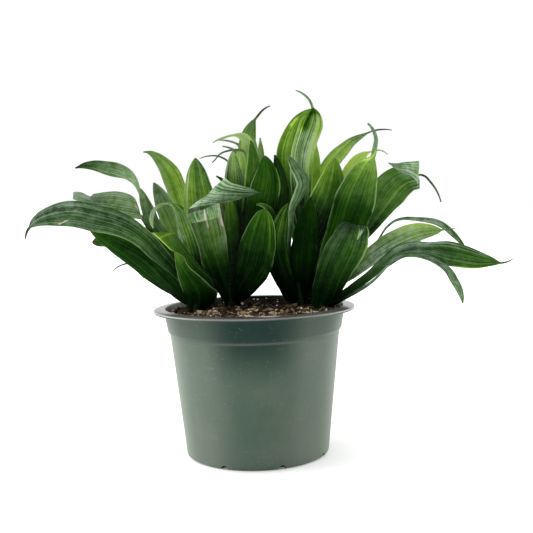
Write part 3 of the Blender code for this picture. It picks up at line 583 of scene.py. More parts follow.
@dataclass(frozen=True)
class PotFinish(Finish):
    """Moulded plastic: grey-green outside, black inside and on the lip's top, scuffed and dusted, with
    painted shade and painted highlights.

    Lengths are in metres, as the object's own coordinates are.
    """
    name: str = "moulded grey-green plastic"
    green: tuple = (0.058, 0.098, 0.070)
    worn: tuple = (0.112, 0.146, 0.106)
    # Darker green painted under the lip as its shadow.
    shadowed_green: tuple = (0.004, 0.024, 0.019)
    black: tuple = (0.026, 0.026, 0.026)
    # Near black painted as shade deep inside the pot and in the drain notches.
    inner: tuple = (0.003, 0.005, 0.003)
    # Pale grey for real grime, and for painted side light and painted highlights.
    dust_and_highlight: tuple = (0.37, 0.38, 0.33)
    edge_radius: float = 81.7 * MM
    edge_blur: float = 0.5 * MM
    lip_height: float = 120.9 * MM
    lip_radius: float = 74.0 * MM
    lip_slope: float = 0.17
    lip_blur: float = 0.1 * MM
    wall_radius: float = 52.9 * MM
    wall_slope: float = 0.158
    wall_blur: float = 0.3 * MM
    inside_shade_from: float = 1.5 * MM
    inside_shade_full: float = 2.5 * MM
    notch_top: float = 4.2 * MM
    foot_edge: float = 56.5 * MM
    foot_rise: float = 1.6 * MM
    foot_slope: float = 1.1
    splashed_to: float = 40.0 * MM
    lip_shadow_from: float = 60.0 * MM
    lip_shadow_full: float = 108.0 * MM
    band_foot: float = 99.9 * MM
    band_slack: float = 2.5 * MM
    line_half: float = 0.4 * MM
    line_fade: float = 1.4 * MM
    lit_side_full: float = 0.34
    lit_flank_from: float = 0.6
    cloud_scale: float = 24.0
    fine_scale: float = 420.0
    speck_scale: float = 320.0
    drawn_counts: tuple = (900.0, 60.0)
    scuff_counts: tuple = (40.0, 260.0)
    gloss: float = 0.13
    lip_polish: float = 0.24
    relief_height: float = 0.06 * MM

    def surface(self, graph: Graph) -> dict:
        """Two plastics, their wear, and painted shade and highlights.

        The black one is where a point lies above the lip's middle plane, a shallow cone, or nearer to the
        axis than the middle of the wall, a steep cone; deeper inside and in the drain notches it is
        painted near black as shade. A dull film covers the green one. Under the lip a darker green is
        painted as the lip's shadow, fading downward and towards the sides, and the sides and outer edges
        are painted paler as side light and reflection, with real grime near the foot. Drawn lines and
        scuffs are noise stretched upward and round. The edge under the band is painted pale as a
        highlight, and so are the lip's outer edge and its sides.

        Args:
            graph: takes the nodes.

        Returns:
            What feeds the shader's sockets, by socket name.
        """
        where = graph.place()
        x, y, z = graph.axes(where)
        squared = x * x + y * y
        radius = squared ** 0.5
        over_lip = z - self.lip_height + (radius - self.lip_radius) * self.lip_slope
        inside = self.wall_radius + z * self.wall_slope - radius
        lip_top = over_lip.step(-2 * self.lip_blur, self.lip_blur)
        black = (lip_top + inside.step(0.0, self.wall_blur)).apply("MINIMUM", 1.0)
        # Painted light: side is near 1 on the pot's left and right as seen from the front, and the flank
        # mask at its outer edges; both carry painted side light and reflection.
        sideways = x * x / (squared + TINY)
        side, lit_flank = sideways.step(0.0, self.lit_side_full), sideways.step(self.lit_flank_from, 1.0)
        cloud = graph.noise(where, self.cloud_scale, 4.0, 0.6)
        fine = graph.noise(where, self.fine_scale, 2.0)
        drawn_at, scuffed_at = (graph.vector(x * flat, y * flat, z * upright)
                                for flat, upright in (self.drawn_counts, self.scuff_counts))
        drawn = graph.noise(drawn_at, 1.0, 2.0)
        scuff = graph.noise(scuffed_at, 1.0, 5.0, 0.7).step(0.60, 0.80)
        specks = graph.value("ShaderNodeTexVoronoi", None, {"Vector": where, "Scale": self.speck_scale})
        speck = specks.step(0.24, 0.06) * graph.noise(where, 60.0).step(0.40, 0.66)
        film = graph.mix(cloud.step(0.30, 0.75) * 0.5 + drawn.swing(0.3), self.green, self.worn)
        band = z.step(self.band_foot - self.band_slack, self.band_foot + self.band_slack)
        # Painted shadow of the lip: a darker green from the lip downward, weaker at the sides that are
        # painted lit.
        upward = z.step(self.lip_shadow_from, self.lip_shadow_full)
        painted_lip_shadow = upward * (1 - side * (0.92 - band * 0.4)) * (cloud.swing(0.6) + 1.0)
        body = graph.mix(painted_lip_shadow, film, self.shadowed_green)
        # The edge under the band is painted pale as a highlight, fading at the sides.
        under_band = abs(z - self.band_foot).step(self.line_fade, self.line_half)
        painted_step_highlight = under_band * (1 - side * 0.9) * (cloud * 0.2 + 0.07)
        # The sides are painted paler as side light and reflection, less on the band in the lip's shade;
        # near the foot the pale is real grime. Scuffs and specks are real.
        side_light_and_dust = side * (0.14 - band * 0.06) + lit_flank * 0.1 + z.step(self.splashed_to, 0.0) * 0.08
        dusted_and_lit = graph.mix(scuff * 0.16 + speck * 0.18 + side_light_and_dust + painted_step_highlight, body, self.dust_and_highlight)
        # Deeper inside, the black is painted near black as shade.
        black_with_painted_shade = graph.mix(inside.step(self.inside_shade_from, self.inside_shade_full), self.black, self.inner)
        # The lip's outer edge and its sides are painted pale as highlights.
        painted_lip_highlight = radius.step(self.edge_radius, self.edge_radius + self.edge_blur) * (cloud * 0.4 + 0.02)
        lip = graph.mix(painted_lip_highlight + scuff * 0.1 + side * 0.12, black_with_painted_shade, self.dust_and_highlight)
        # The drain notches are painted near black as shade.
        cut_in = radius - z.apply("MINIMUM", self.foot_rise) * self.foot_slope
        low = z.step(self.notch_top, self.notch_top * 0.9)
        notch = low * cut_in.step(self.foot_edge, self.foot_edge * 0.995)
        colour = graph.mix(notch, graph.mix(black, dusted_and_lit, lip), self.inner)
        roughness = 0.40 + cloud.swing(0.16) + scuff * 0.15 + fine.swing(0.08)
        return {"Base Color": colour, "Roughness": roughness, "Specular IOR Level": self.gloss,
                "Coat Weight": lip_top, "Coat Roughness": self.lip_polish,
                "Normal": graph.bump(fine * 0.5 + drawn * 0.5, self.relief_height, 0.6)}


@dataclass(frozen=True)
class SoilFinish(Finish):
    """Dark moist peat with paler crumbs."""
    name: str = "dark peat"
    wet: tuple = (0.004, 0.003, 0.002)
    moist: tuple = (0.022, 0.015, 0.009)
    crumb: tuple = (0.10, 0.075, 0.045)
    clod_scale: float = 120.0
    crumb_scale: float = 520.0

    def surface(self, graph: Graph) -> dict:
        """Two sizes of noise: clods and crumbs.

        Args:
            graph: takes the nodes.

        Returns:
            What feeds the shader's sockets, by socket name.
        """
        clods = graph.noise(graph.place(), self.clod_scale, 3.0)
        crumbs = graph.noise(graph.place(), self.crumb_scale, 4.0, 0.65)
        colour = graph.mix(clods.step(0.3, 0.7), self.wet, self.moist)
        crumbed = graph.mix(crumbs.step(0.58, 0.75), colour, self.crumb)
        return {"Base Color": crumbed, "Roughness": 0.95, "Specular IOR Level": 0.03,
                "Normal": graph.bump(crumbs * 0.7 + clods * 0.3, 1.2 * MM)}


@dataclass(frozen=True)
class ChipFinish(Finish):
    """Bark chips and wood crumbs, from near black to straw by each chip's own tone."""
    name: str = "bark chips"
    browns: tuple = ((0.0, (0.012, 0.009, 0.008)), (0.35, (0.060, 0.038, 0.022)),
                     (0.65, (0.200, 0.140, 0.080)), (1.0, (0.56, 0.46, 0.30)))
    grain_scale: float = 700.0

    def surface(self, graph: Graph) -> dict:
        """Each chip's tone on a ramp, with grain over it.

        Args:
            graph: takes the nodes.

        Returns:
            What feeds the shader's sockets, by socket name.
        """
        grain = graph.noise(graph.place(), self.grain_scale, 3.0, 0.6)
        tone = graph.attribute("tone") + grain.swing(0.5)
        colour = graph.value("ShaderNodeValToRGB", {"stops": self.browns}, {0: tone})
        return {"Base Color": colour, "Roughness": 0.85, "Specular IOR Level": 0.05,
                "Normal": graph.bump(grain, 0.5 * MM)}


@dataclass(frozen=True)
class PerliteFinish(Finish):
    """White foamed grains."""
    name: str = "white perlite"
    pit: tuple = (0.42, 0.40, 0.36)
    foam: tuple = (0.86, 0.86, 0.82)
    pit_scale: float = 900.0

    def surface(self, graph: Graph) -> dict:
        """Near white with grey pits.

        Args:
            graph: takes the nodes.

        Returns:
            What feeds the shader's sockets, by socket name.
        """
        pits = graph.noise(graph.place(), self.pit_scale, 3.0)
        colour = graph.mix(pits.step(0.3, 0.6), self.pit, self.foam)
        return {"Base Color": colour, "Roughness": 0.9, "Normal": graph.bump(pits, 0.4 * MM)}


@dataclass(frozen=True)
class FloorFinish(Finish):
    """Matte white floor."""
    name: str = "white floor"

    def surface(self, graph: Graph) -> dict:
        """One colour all over."""
        return {"Base Color": (0.86, 0.86, 0.86), "Roughness": 0.9, "Specular IOR Level": 0.1,
                "Emission Color": (1.0, 1.0, 1.0, 1.0), "Emission Strength": 0.15}


@dataclass(frozen=True)
class Paint:
    """Colours of a leaf.

    tone runs from 0, near black, to 1, lime. bloom is the share of pale waxy coat, which also stands for
    painted sheen, and streak the strength of the streaks.
    """
    tone: float
    bloom: float
    streak: float


class Look(Enum):
    """The colours that leaves have on this plant; the backlit lime one is painted light shining through
    the blade.
    """
    NIGHT = Paint(0.14, 0.0, 0.20)
    DARK = Paint(0.28, 0.005, 0.26)
    DUSKY = Paint(0.42, 0.22, 0.30)
    MID = Paint(0.44, 0.02, 0.32)
    FRESH = Paint(0.62, 0.02, 0.34)
    # Painted light: the lime tone stands for light shining through backlit blades.
    BACKLIT_LIME = Paint(0.80, 0.02, 0.36)
    STRIPED = Paint(0.60, 0.10, 0.75)
    OLIVE = Paint(0.42, 0.15, 0.28)
    DULL = Paint(0.50, 0.35, 0.28)
    PALE = Paint(0.70, 0.60, 0.30)


class Ink(Enum):
    """What a mark changes on a leaf: its tone, its waxy coat with painted sheen, or its healed skin."""
    TONE = "tone"
    WAX_AND_SHEEN = "bloom"
    SCAR = "scar"


@dataclass(frozen=True)
class Mark:
    """A soft stroke on a leaf.

    It runs from one place to another, each a share along the blade and a place across it from
    -1 to 1. strength is what it adds in its middle, and width how far it reaches, in millimetres.
    """
    start: tuple
    end: tuple
    width: float = 1.2
    strength: float = 1.0
    ink: Ink = Ink.SCAR


@dataclass(frozen=True)
class Blade:
    """What every leaf has: where it leaves the cane, how it is cupped and how it is coloured.

    lean is the tone gained from the middle to the margin on the side vector's side. tones are tones
    gained, and waxes shares of the pale waxy coat, which also stands for painted sheen, at even steps from
    the foot to the tip. dry is how far the tail has dried, clasp the width where the leaf clasps its cane,
    and tail the share of its length that is a thin tail. From rows on, the numbers are the same for every
    leaf; two of them darken the foot as painted shade.
    """
    name: str
    root: float
    look: Look = Look.MID
    lean: float = 0.0
    tones: tuple = (-0.10, 0.0, 0.06)
    waxes_and_sheens: tuple = (1.0,)
    dry: float = 0.5
    cup: float = 22.0
    wave: float = 0.0
    clasp: float = 11.0
    tail: float = 0.0
    marks: tuple = ()
    rows: int = 84
    columns: int = 33
    clasp_shift: float = 3.4
    sink: float = 4.0
    sink_until: float = 30.0
    foot_cup: float = 75.0
    foot_share: float = 0.3
    ridge: float = 0.05
    pleat: float = 0.10
    pleats: int = 4
    waves: float = 17.0
    full_breadth: float = 8.0
    margin_waves: tuple = ((0.012, 41, 1), (0.010, 23, 2))
    ripple_height: float = 0.22
    ripple_turns: tuple = (15, 27)
    thickness: float = 0.5
    margin_thinning: float = 0.75
    # The next two numbers darken the foot of every blade as painted shade.
    foot_painted_shade: float = 0.32
    painted_shade_span: tuple = (0.05, 0.45)
    bloom_and_sheen_span: tuple = (0.05, 0.30)
    tail_least: float = 0.02
    tail_lead: float = 0.03
    tail_blur: float = 0.07
    number_step: float = 3.7

    def foot(self, at: tuple) -> Array:
        """Where the leaf leaves the axis of a cane that stands at this place.

        The low ones start a little under the soil.
        """
        sunk = self.sink * (1 - self.root / self.sink_until)
        return np.array([at[0], at[1], SOIL_AT_CANES + self.root - sunk])

    def lines(self, at: tuple, u: Array) -> tuple:
        """Midrib points, unit side vectors and half widths at the shares u of the length."""
        raise NotImplementedError

    def middle_surface(self, at: tuple, number: int) -> Array:
        """The blade's middle surface, rows along its length by columns across.

        Across, the blade is an arc: half its width over its opening angle, times the sine and
        one minus the cosine of that angle. The angle is large at the foot, where the leaf clasps
        the cane, and small further out. Two soft ridges, fine pleats, and waves and ripples that
        grow towards the margins are added to the lift, and small waves to the width.

        Args:
            at: the cane's place.
            number: sets the phase of the small waves.

        Returns:
            Points in millimetres, as rows by columns by three.
        """
        u = np.linspace(0, 1, self.rows)
        middle, side, half = self.lines(at, u)
        uneven = sum(size * np.sin(turns * u + phase * number)
                     for size, turns, phase in self.margin_waves)
        half = half.reshape(-1, 1) * (1 + uneven)[:, None]
        along = unit(np.gradient(middle, axis=0))
        upper = unit(np.cross(along, side))
        v = np.linspace(-1, 1, self.columns)[None, :]
        clasp = np.clip(1 - u / self.foot_share, 0, 1) ** 1.5
        cup = np.radians(self.cup + (self.foot_cup - self.cup) * clasp)[:, None]
        middle = middle - upper * self.clasp_shift * clasp[:, None]
        lateral = half * np.sin(cup * v) / cup
        lift = half * (1 - np.cos(cup * v)) / cup + half * self.ridge * np.sin(math.pi * np.abs(v))
        open_part = np.sin(math.pi * u)[:, None]
        broad = np.clip(half / self.full_breadth, 0, 1)
        lift = lift + self.pleat * np.cos(2 * math.pi * self.pleats * v) * open_part * broad
        lift = lift + self.wave * np.sin(self.waves * u)[:, None] * v ** 3 * open_part
        long_turns, short_turns = (turns * u[:, None] for turns in self.ripple_turns)
        ripple = np.sin(long_turns + number + 1.3 * np.sign(v)) + 0.6 * np.sin(short_turns - number)
        lift = lift + self.ripple_height * ripple * v ** 2 * open_part * broad
        return middle[:, None] + lateral[..., None] * side[:, None] + lift[..., None] * upper[:, None]

    def surface(self, at: tuple, number: int) -> Surface:
        """The closed blade: its middle surface moved out to both sides, thinner at the margins.

        The first of the two sides is the leaf's upper face.

        Args:
            at: the cane's place.
            number: the leaf's number, for its own streaks and waves.

        Returns:
            The surface with its colour values.
        """
        middle = self.middle_surface(at, number)
        u, v = np.meshgrid(np.linspace(0, 1, self.rows), np.linspace(-1, 1, self.columns), indexing="ij")
        out = unit(np.cross(np.gradient(middle, axis=0), np.gradient(middle, axis=1)))
        depth = (0.5 * self.thickness * (1 - self.margin_thinning * v ** 4))[..., None]
        rings = np.concatenate([middle + out * depth, (middle - out * depth)[:, ::-1]], axis=1)
        both_u, both_v = np.concatenate([u, u], axis=1), np.concatenate([v, v[:, ::-1]], axis=1)
        face = np.repeat([1.0, 0.0], self.columns)[None, :] + 0 * both_u
        ring = 2 * self.columns
        k = np.arange(self.columns - 1)
        foot_cap = np.stack([k, k + 1, ring - 2 - k, ring - 1 - k], axis=-1)
        tip_cap = foot_cap[:, ::-1] + (self.rows - 1) * ring
        faces = np.concatenate([ring_faces(self.rows, ring), foot_cap, tip_cap])
        return Surface(rings.reshape(-1, 3), [faces], self.colours(both_u, both_v, face, number, middle),
                       np.stack([both_v.ravel() * 0.5 + 0.5, both_u.ravel()], axis=-1))

    def colours(self, u: Array, v: Array, face: Array, number: int, middle: Array) -> dict:
        """Values that the leaf's finish reads, for each point.

        Args:
            u: share along.
            v: place across, from -1 to 1.
            face: 1 on the upper face.
            number: the leaf's number.
            middle: the middle surface, for its length and breadth.

        Returns:
            The named values, flattened.
        """
        paint = self.look.value
        length = chord_lengths(middle[:, self.columns // 2])[-1]
        breadth = np.linalg.norm(middle[:, -1] - middle[:, 0], axis=1).max()
        # Painted shade: the foot of the blade is darkened where the leaves shade it.
        painted_shade = self.foot_painted_shade * (1 - smooth_step(*self.painted_shade_span, u))
        gained, waxed_and_sheened = (np.interp(u, np.linspace(0, 1, len(keys)), keys)
                         for keys in (self.tones, self.waxes_and_sheens))
        tail_start = 1 - max(self.tail, self.tail_least) - self.tail_lead
        values = {"tone": paint.tone + self.lean * v + gained - painted_shade,
                  # Waxy coat with painted sheen, rising from the foot.
                  "bloom": paint.bloom * waxed_and_sheened * smooth_step(*self.bloom_and_sheen_span, u),
                  "streak": paint.streak + 0 * u,
                  "dry": self.dry * smooth_step(tail_start, tail_start + self.tail_blur, u),
                  "upper": face, "scar": 0 * u, "number": number * self.number_step + 0 * u}
        for mark in self.marks:
            start, end = (np.array([p[0] * length, p[1] * breadth / 2]) for p in (mark.start, mark.end))
            here = np.stack([u * length, v * breadth / 2], axis=-1) - start
            run = end - start
            t = np.clip(here @ run / (run @ run), 0, 1)
            gap = np.linalg.norm(here - t[..., None] * run, axis=-1)
            soft = mark.strength * np.exp(-(gap / mark.width) ** 2)
            values[mark.ink.value] = values[mark.ink.value] + soft
        return {key: value.ravel() for key, value in values.items()}


@dataclass(frozen=True)
class Tapered(Blade):
    """A blade whose width follows a formula: narrow foot, widest part, quick taper, thin tail."""
    width: float = 24.0
    widest: float = 0.58
    taper: float = 0.65
    tail_width: float = 1.6
    foot_most: float = 0.9
    tail_narrowing: float = 0.6

    def half_widths(self, u: Array) -> Array:
        """Half the width: a sine rise to the widest part, then a cosine fall to the tail.

        Args:
            u: shares of the length, from 0 to 1.

        Returns:
            Half the width at each share.
        """
        body_end = 1.0 - self.tail
        rise = np.sin(np.clip(u / self.widest, 0, 1) * math.pi / 2) ** 1.6
        fall = np.clip((u - self.widest) / (body_end - self.widest), 0, 1)
        foot = min(self.clasp / self.width, self.foot_most)
        falling = np.cos(fall * math.pi / 2) ** self.taper
        share = np.where(u < self.widest, foot + (1 - foot) * rise, falling)
        past_body = np.clip((u - body_end) / max(self.tail, 0.01), 0, 1)
        tail = self.tail_width * (1 - self.tail_narrowing * past_body ** 2)
        return 0.5 * np.maximum(self.width * share, tail)


@dataclass(frozen=True)
class Leaf(Tapered):
    """A blade along a route of (across, up, depth) points, as seen from the front.

    turn is how the blade is turned about its route, in degrees at even steps: 0 shows its
    underside, 180 its upper face, and 90 or -90 an edge.
    """
    route: tuple = ()
    turn: tuple = (0,)

    def lines(self, at: tuple, u: Array) -> tuple:
        """Midrib, side vectors and half widths; the side is turned from the flat one by turn.

        Args:
            at: the cane's place.
            u: shares of the length, from 0 to 1.

        Returns:
            Midrib points, unit side vectors and half widths.
        """
        middle = smooth_route([self.foot(at)] + [seen_point(*p) for p in self.route], len(u))
        turns = np.radians(np.interp(u, np.linspace(0, 1, len(self.turn)), self.turn))[:, None]
        along = unit(np.gradient(middle, axis=0))
        flat_side = unit(np.stack([along[:, 2], np.zeros(len(u)), -along[:, 0]], axis=1))
        side = np.cos(turns) * flat_side + np.sin(turns) * np.array([0.0, 1.0, 0.0])
        side = unit(side - (side * along).sum(axis=1, keepdims=True) * along)
        return middle, side, self.half_widths(u)


@dataclass(frozen=True)
class Folded(Blade):
    """A blade whose tip folds over: pairs of points on its left and right margins."""
    cup: float = 10.0
    pairs: tuple = ()

    def lines(self, at: tuple, u: Array) -> tuple:
        """Middle line, side vectors and half widths between the two margin curves.

        Args:
            at: the cane's place.
            u: shares of the length, from 0 to 1.

        Returns:
            Midrib points, unit side vectors and half widths.
        """
        foot = self.foot(at)
        left = [seen_point(*pair[0]) for pair in self.pairs]
        right = [seen_point(*pair[1]) for pair in self.pairs]
        reach = unit(right[0] - left[0]) * self.clasp / 2
        knots = np.arange(len(self.pairs) + 1, dtype=float)
        left = cubic([foot - reach] + left, knots, len(u))
        right = cubic([foot + reach] + right, knots, len(u))
        return (left + right) / 2, unit(right - left), np.linalg.norm(right - left, axis=1) / 2


@dataclass(frozen=True)
class Arch(Tapered):
    """A blade that leaves its cane towards a heading in plan and arches over and down."""
    tones: tuple = (0, 0.1, 0.1)
    tail: float = 0.04
    heading: float = 90.0
    reach: float = 80.0
    rise: float = 80.0
    droop: float = 40.0
    sway: float = 0.0
    keys: tuple = ((0.0, 0.0, 0.0, 0.0), (0.16, 0.50, 0.0, 0.0), (0.45, 0.95, 0.0, 0.2),
                   (0.75, 1.0, 0.25, 0.6), (1.0, 1.0, 1.0, 1.0))

    def lines(self, at: tuple, u: Array) -> tuple:
        """Midrib through its keys: shares of reach, rise, droop and sway from the foot.

        Args:
            at: the cane's place.
            u: shares of the length, from 0 to 1.

        Returns:
            Midrib points, unit side vectors and half widths.
        """
        foot, heading = self.foot(at), math.radians(self.heading)
        out = np.array([math.cos(heading), math.sin(heading), 0.0])
        across = np.array([-math.sin(heading), math.cos(heading), 0.0])
        up = np.array([0.0, 0.0, 1.0])
        route = [foot + out * self.reach * reach + up * (self.rise * rise - self.droop * droop)
                 + across * self.sway * sway for reach, rise, droop, sway in self.keys]
        middle = smooth_route(route, len(u))
        along = unit(np.gradient(middle, axis=0))
        side = np.broadcast_to(across, along.shape)
        side = unit(side - (side * along).sum(axis=1, keepdims=True) * along)
        return middle, side, self.half_widths(u)


@dataclass(frozen=True)
class LeafyCane:
    """A cane that stands in the soil, with its leaves."""
    name: str
    node: str
    at: tuple
    leaves: tuple
    foot_radius: float = 6.0
    tip_radius: float = 3.2
    depth: float = 40.0
    height: float = 34.0
    rows: int = 120
    ring_step: float = 3.2
    ring_dip: float = 0.35
    ring_swell: float = 0.3
    sides: int = 40
    numbers: int = 50

    def cane(self) -> Surface:
        """The cane: a taper with a small bulge at each leaf scar, a power of a sine of the height.

        Returns:
            The closed surface.
        """
        z = np.linspace(0, self.depth + self.height, self.rows)
        taper = self.foot_radius + (self.tip_radius - self.foot_radius) * z / z[-1]
        swell = np.abs(np.sin(math.pi * z / self.ring_step)) ** 0.5
        radius = taper - self.ring_dip + self.ring_swell * swell
        low = SOIL_AT_CANES - self.depth
        outer = np.stack([radius, z + low], axis=1)[::-1]
        profile = np.concatenate([[[0.0, outer[0, 1]]], outer, [[0.0, low]]])
        made = turned(profile, self.sides, slot=1)
        made.points += np.array([self.at[0], self.at[1], 0.0])
        return made

    def build(self, leaf: bpy.types.Material, cane: bpy.types.Material) -> None:
        """Make the cane and its leaves as one piece that stands for its node.

        Args:
            leaf: the leaves' finish.
            cane: the cane's finish.
        """
        first = sum(ord(letter) for letter in self.name) % self.numbers
        parts = [blade.surface(self.at, first + i) for i, blade in enumerate(self.leaves)]
        thing = join_surfaces(parts + [self.cane()], self.name, [leaf, cane])
        finish_piece(thing, "leaf", self.node)


LEFT_FRONT = (
    Leaf("far left droop", 13, Look.DUSKY, tones=(0, 0.08, 0, 0.04, -0.12), waxes_and_sheens=(0, 0.3, 0.6, 1, 1.3),
         dry=1, marks=(Mark((0.76, 0.5), (0.8, 0.81), 0.5),
         Mark((0.3, 0.97), (0.6, 0.97), 0.8, 0.25, Ink.TONE),
         Mark((0.7, -0.5), (0.92, -0.5), 2.5, 0.35, Ink.WAX_AND_SHEEN)), width=23, widest=0.68, tail=0.055,
         tail_width=2.4, cup=25, wave=0.8, clasp=13, turn=(-115, -125, -142, -158, -165, -165),
         route=((-72, 159, -8), (-79.5, 166.5, -11), (-88.5, 176.5, -15), (-101.5, 186.5, -18),
         (-114, 192, -19.5), (-127, 195.5, -20.5), (-147, 200, -22.5), (-157.5, 199.5, -23.5),
         (-166.5, 198, -24.5), (-173, 196, -25.5), (-179, 192.5, -26.5), (-183.5, 187, -27),
         (-185, 181, -27))),
    Leaf("under the droop", 8, Look.DARK, tones=(0.2, 0, 0, 0.14),
         marks=(Mark((0.35, 0.9), (0.95, 0.9), 1.2, 0.3, Ink.TONE),), width=27, widest=0.42, cup=20,
         clasp=16, turn=(-60, -20, -20), route=((-65, 136, 0), (-76.5, 147, 0), (-88.5, 159, 1),
         (-104.5, 170.5, 2), (-120.5, 180, 1), (-133, 188, 0))),
    Leaf("curled low tip", 9, Look.MID, tones=(0, -0.1, -0.05), dry=0.9, width=12, widest=0.94, cup=20,
         turn=(-40,), route=((-65, 134, 8), (-84.5, 159.5, 11), (-104.5, 170.5, 12), (-118, 176, 12),
         (-131, 176.5, 10))),
    Leaf("low thread", 7, Look.DARK, tones=(-0.1, -0.1, 0.1), dry=0.2, width=9, widest=0.4, tail=0.3,
         tail_width=2, turn=(-40,), route=((-62.5, 130, 10), (-81, 148, 13), (-94.5, 156.5, 14),
         (-103.5, 158.5, 13), (-110, 156.5, 12), (-115.5, 152.5, 10))),
    Folded("front left", 4, Look.DARK, tones=(0.1, 0.08, 0.04, 0.17, 0.36),
         marks=(Mark((0.1, 0.95), (0.7, 0.95), 1, 0.25, Ink.TONE),), clasp=25,
         pairs=(((-58, 130, -7), (-29.5, 130.5, -10)), ((-60, 137.5, -10), (-36, 138.5, -14)),
         ((-62, 145.5, -13), (-44, 146, -17)), ((-63.5, 154.5, -15), (-53.5, 155.5, -18)),
         ((-64, 161.5, -17), (-56.5, 162, -19)), ((-64.5, 166.5, -18), (-62.5, 166.5, -19)))),
    Folded("front left, inner half", 5, Look.MID, lean=-0.1, tones=(-0.06, 0.02, -0.02, 0.03, 0.1),
         marks=(Mark((0.2, -0.95), (0.98, -0.95), 1.1, 0.35, Ink.TONE),
         Mark((0.9, -0.9), (0.98, 0.9), 1.2, 0.2, Ink.TONE)), clasp=12,
         pairs=(((-44, 140, -5), (-30, 139.5, -5)), ((-54, 156, -9), (-44, 155, -7)),
         ((-59, 164, -12), (-50, 164, -9)), ((-67.5, 169, -14), (-54, 170, -12)),
         ((-74, 175.5, -15), (-59, 177, -13.5)), ((-82.5, 183.5, -17), (-64.5, 183.5, -15)))),
    Leaf("hooked", 16, Look.STRIPED, tones=(-0.34, -0.28, 0.02, -0.06, 0.5), waxes_and_sheens=(0, 0, 1, 1.2, 9),
         marks=(Mark((0.42, 0.3), (0.72, 0.45), 0.5, 0.9, Ink.WAX_AND_SHEEN),
         Mark((0.42, 0.6), (0.76, 0.7), 0.5, 0.9, Ink.WAX_AND_SHEEN),
         Mark((0.42, 0.9), (0.8, 0.95), 0.6, 0.9, Ink.WAX_AND_SHEEN),
         Mark((0.84, 0.8), (0.95, -0.5), 2.5, 0.6, Ink.WAX_AND_SHEEN)), width=17, widest=0.5, cup=25,
         turn=(-175, -160, -110, -50), route=((-52, 170, -6), (-56.5, 185, -6), (-61, 199, -8),
         (-66.5, 205.5, -9), (-74, 204.5, -10), (-79.5, 199.5, -12), (-81.5, 193.5, -13),
         (-80.5, 187, -14))),
    Leaf("dark left", 12, Look.MID, tones=(0, -0.1, -0.1), width=13, turn=(-150,),
         route=((-62, 150, 8), (-77, 173, 10), (-87, 188, 9))),
    Leaf("dark left, near", 14, Look.MID, tones=(0, 0, -0.1), width=13, turn=(-150,),
         route=((-60, 152, 4), (-72, 170, 6), (-84, 183, 8))),
)

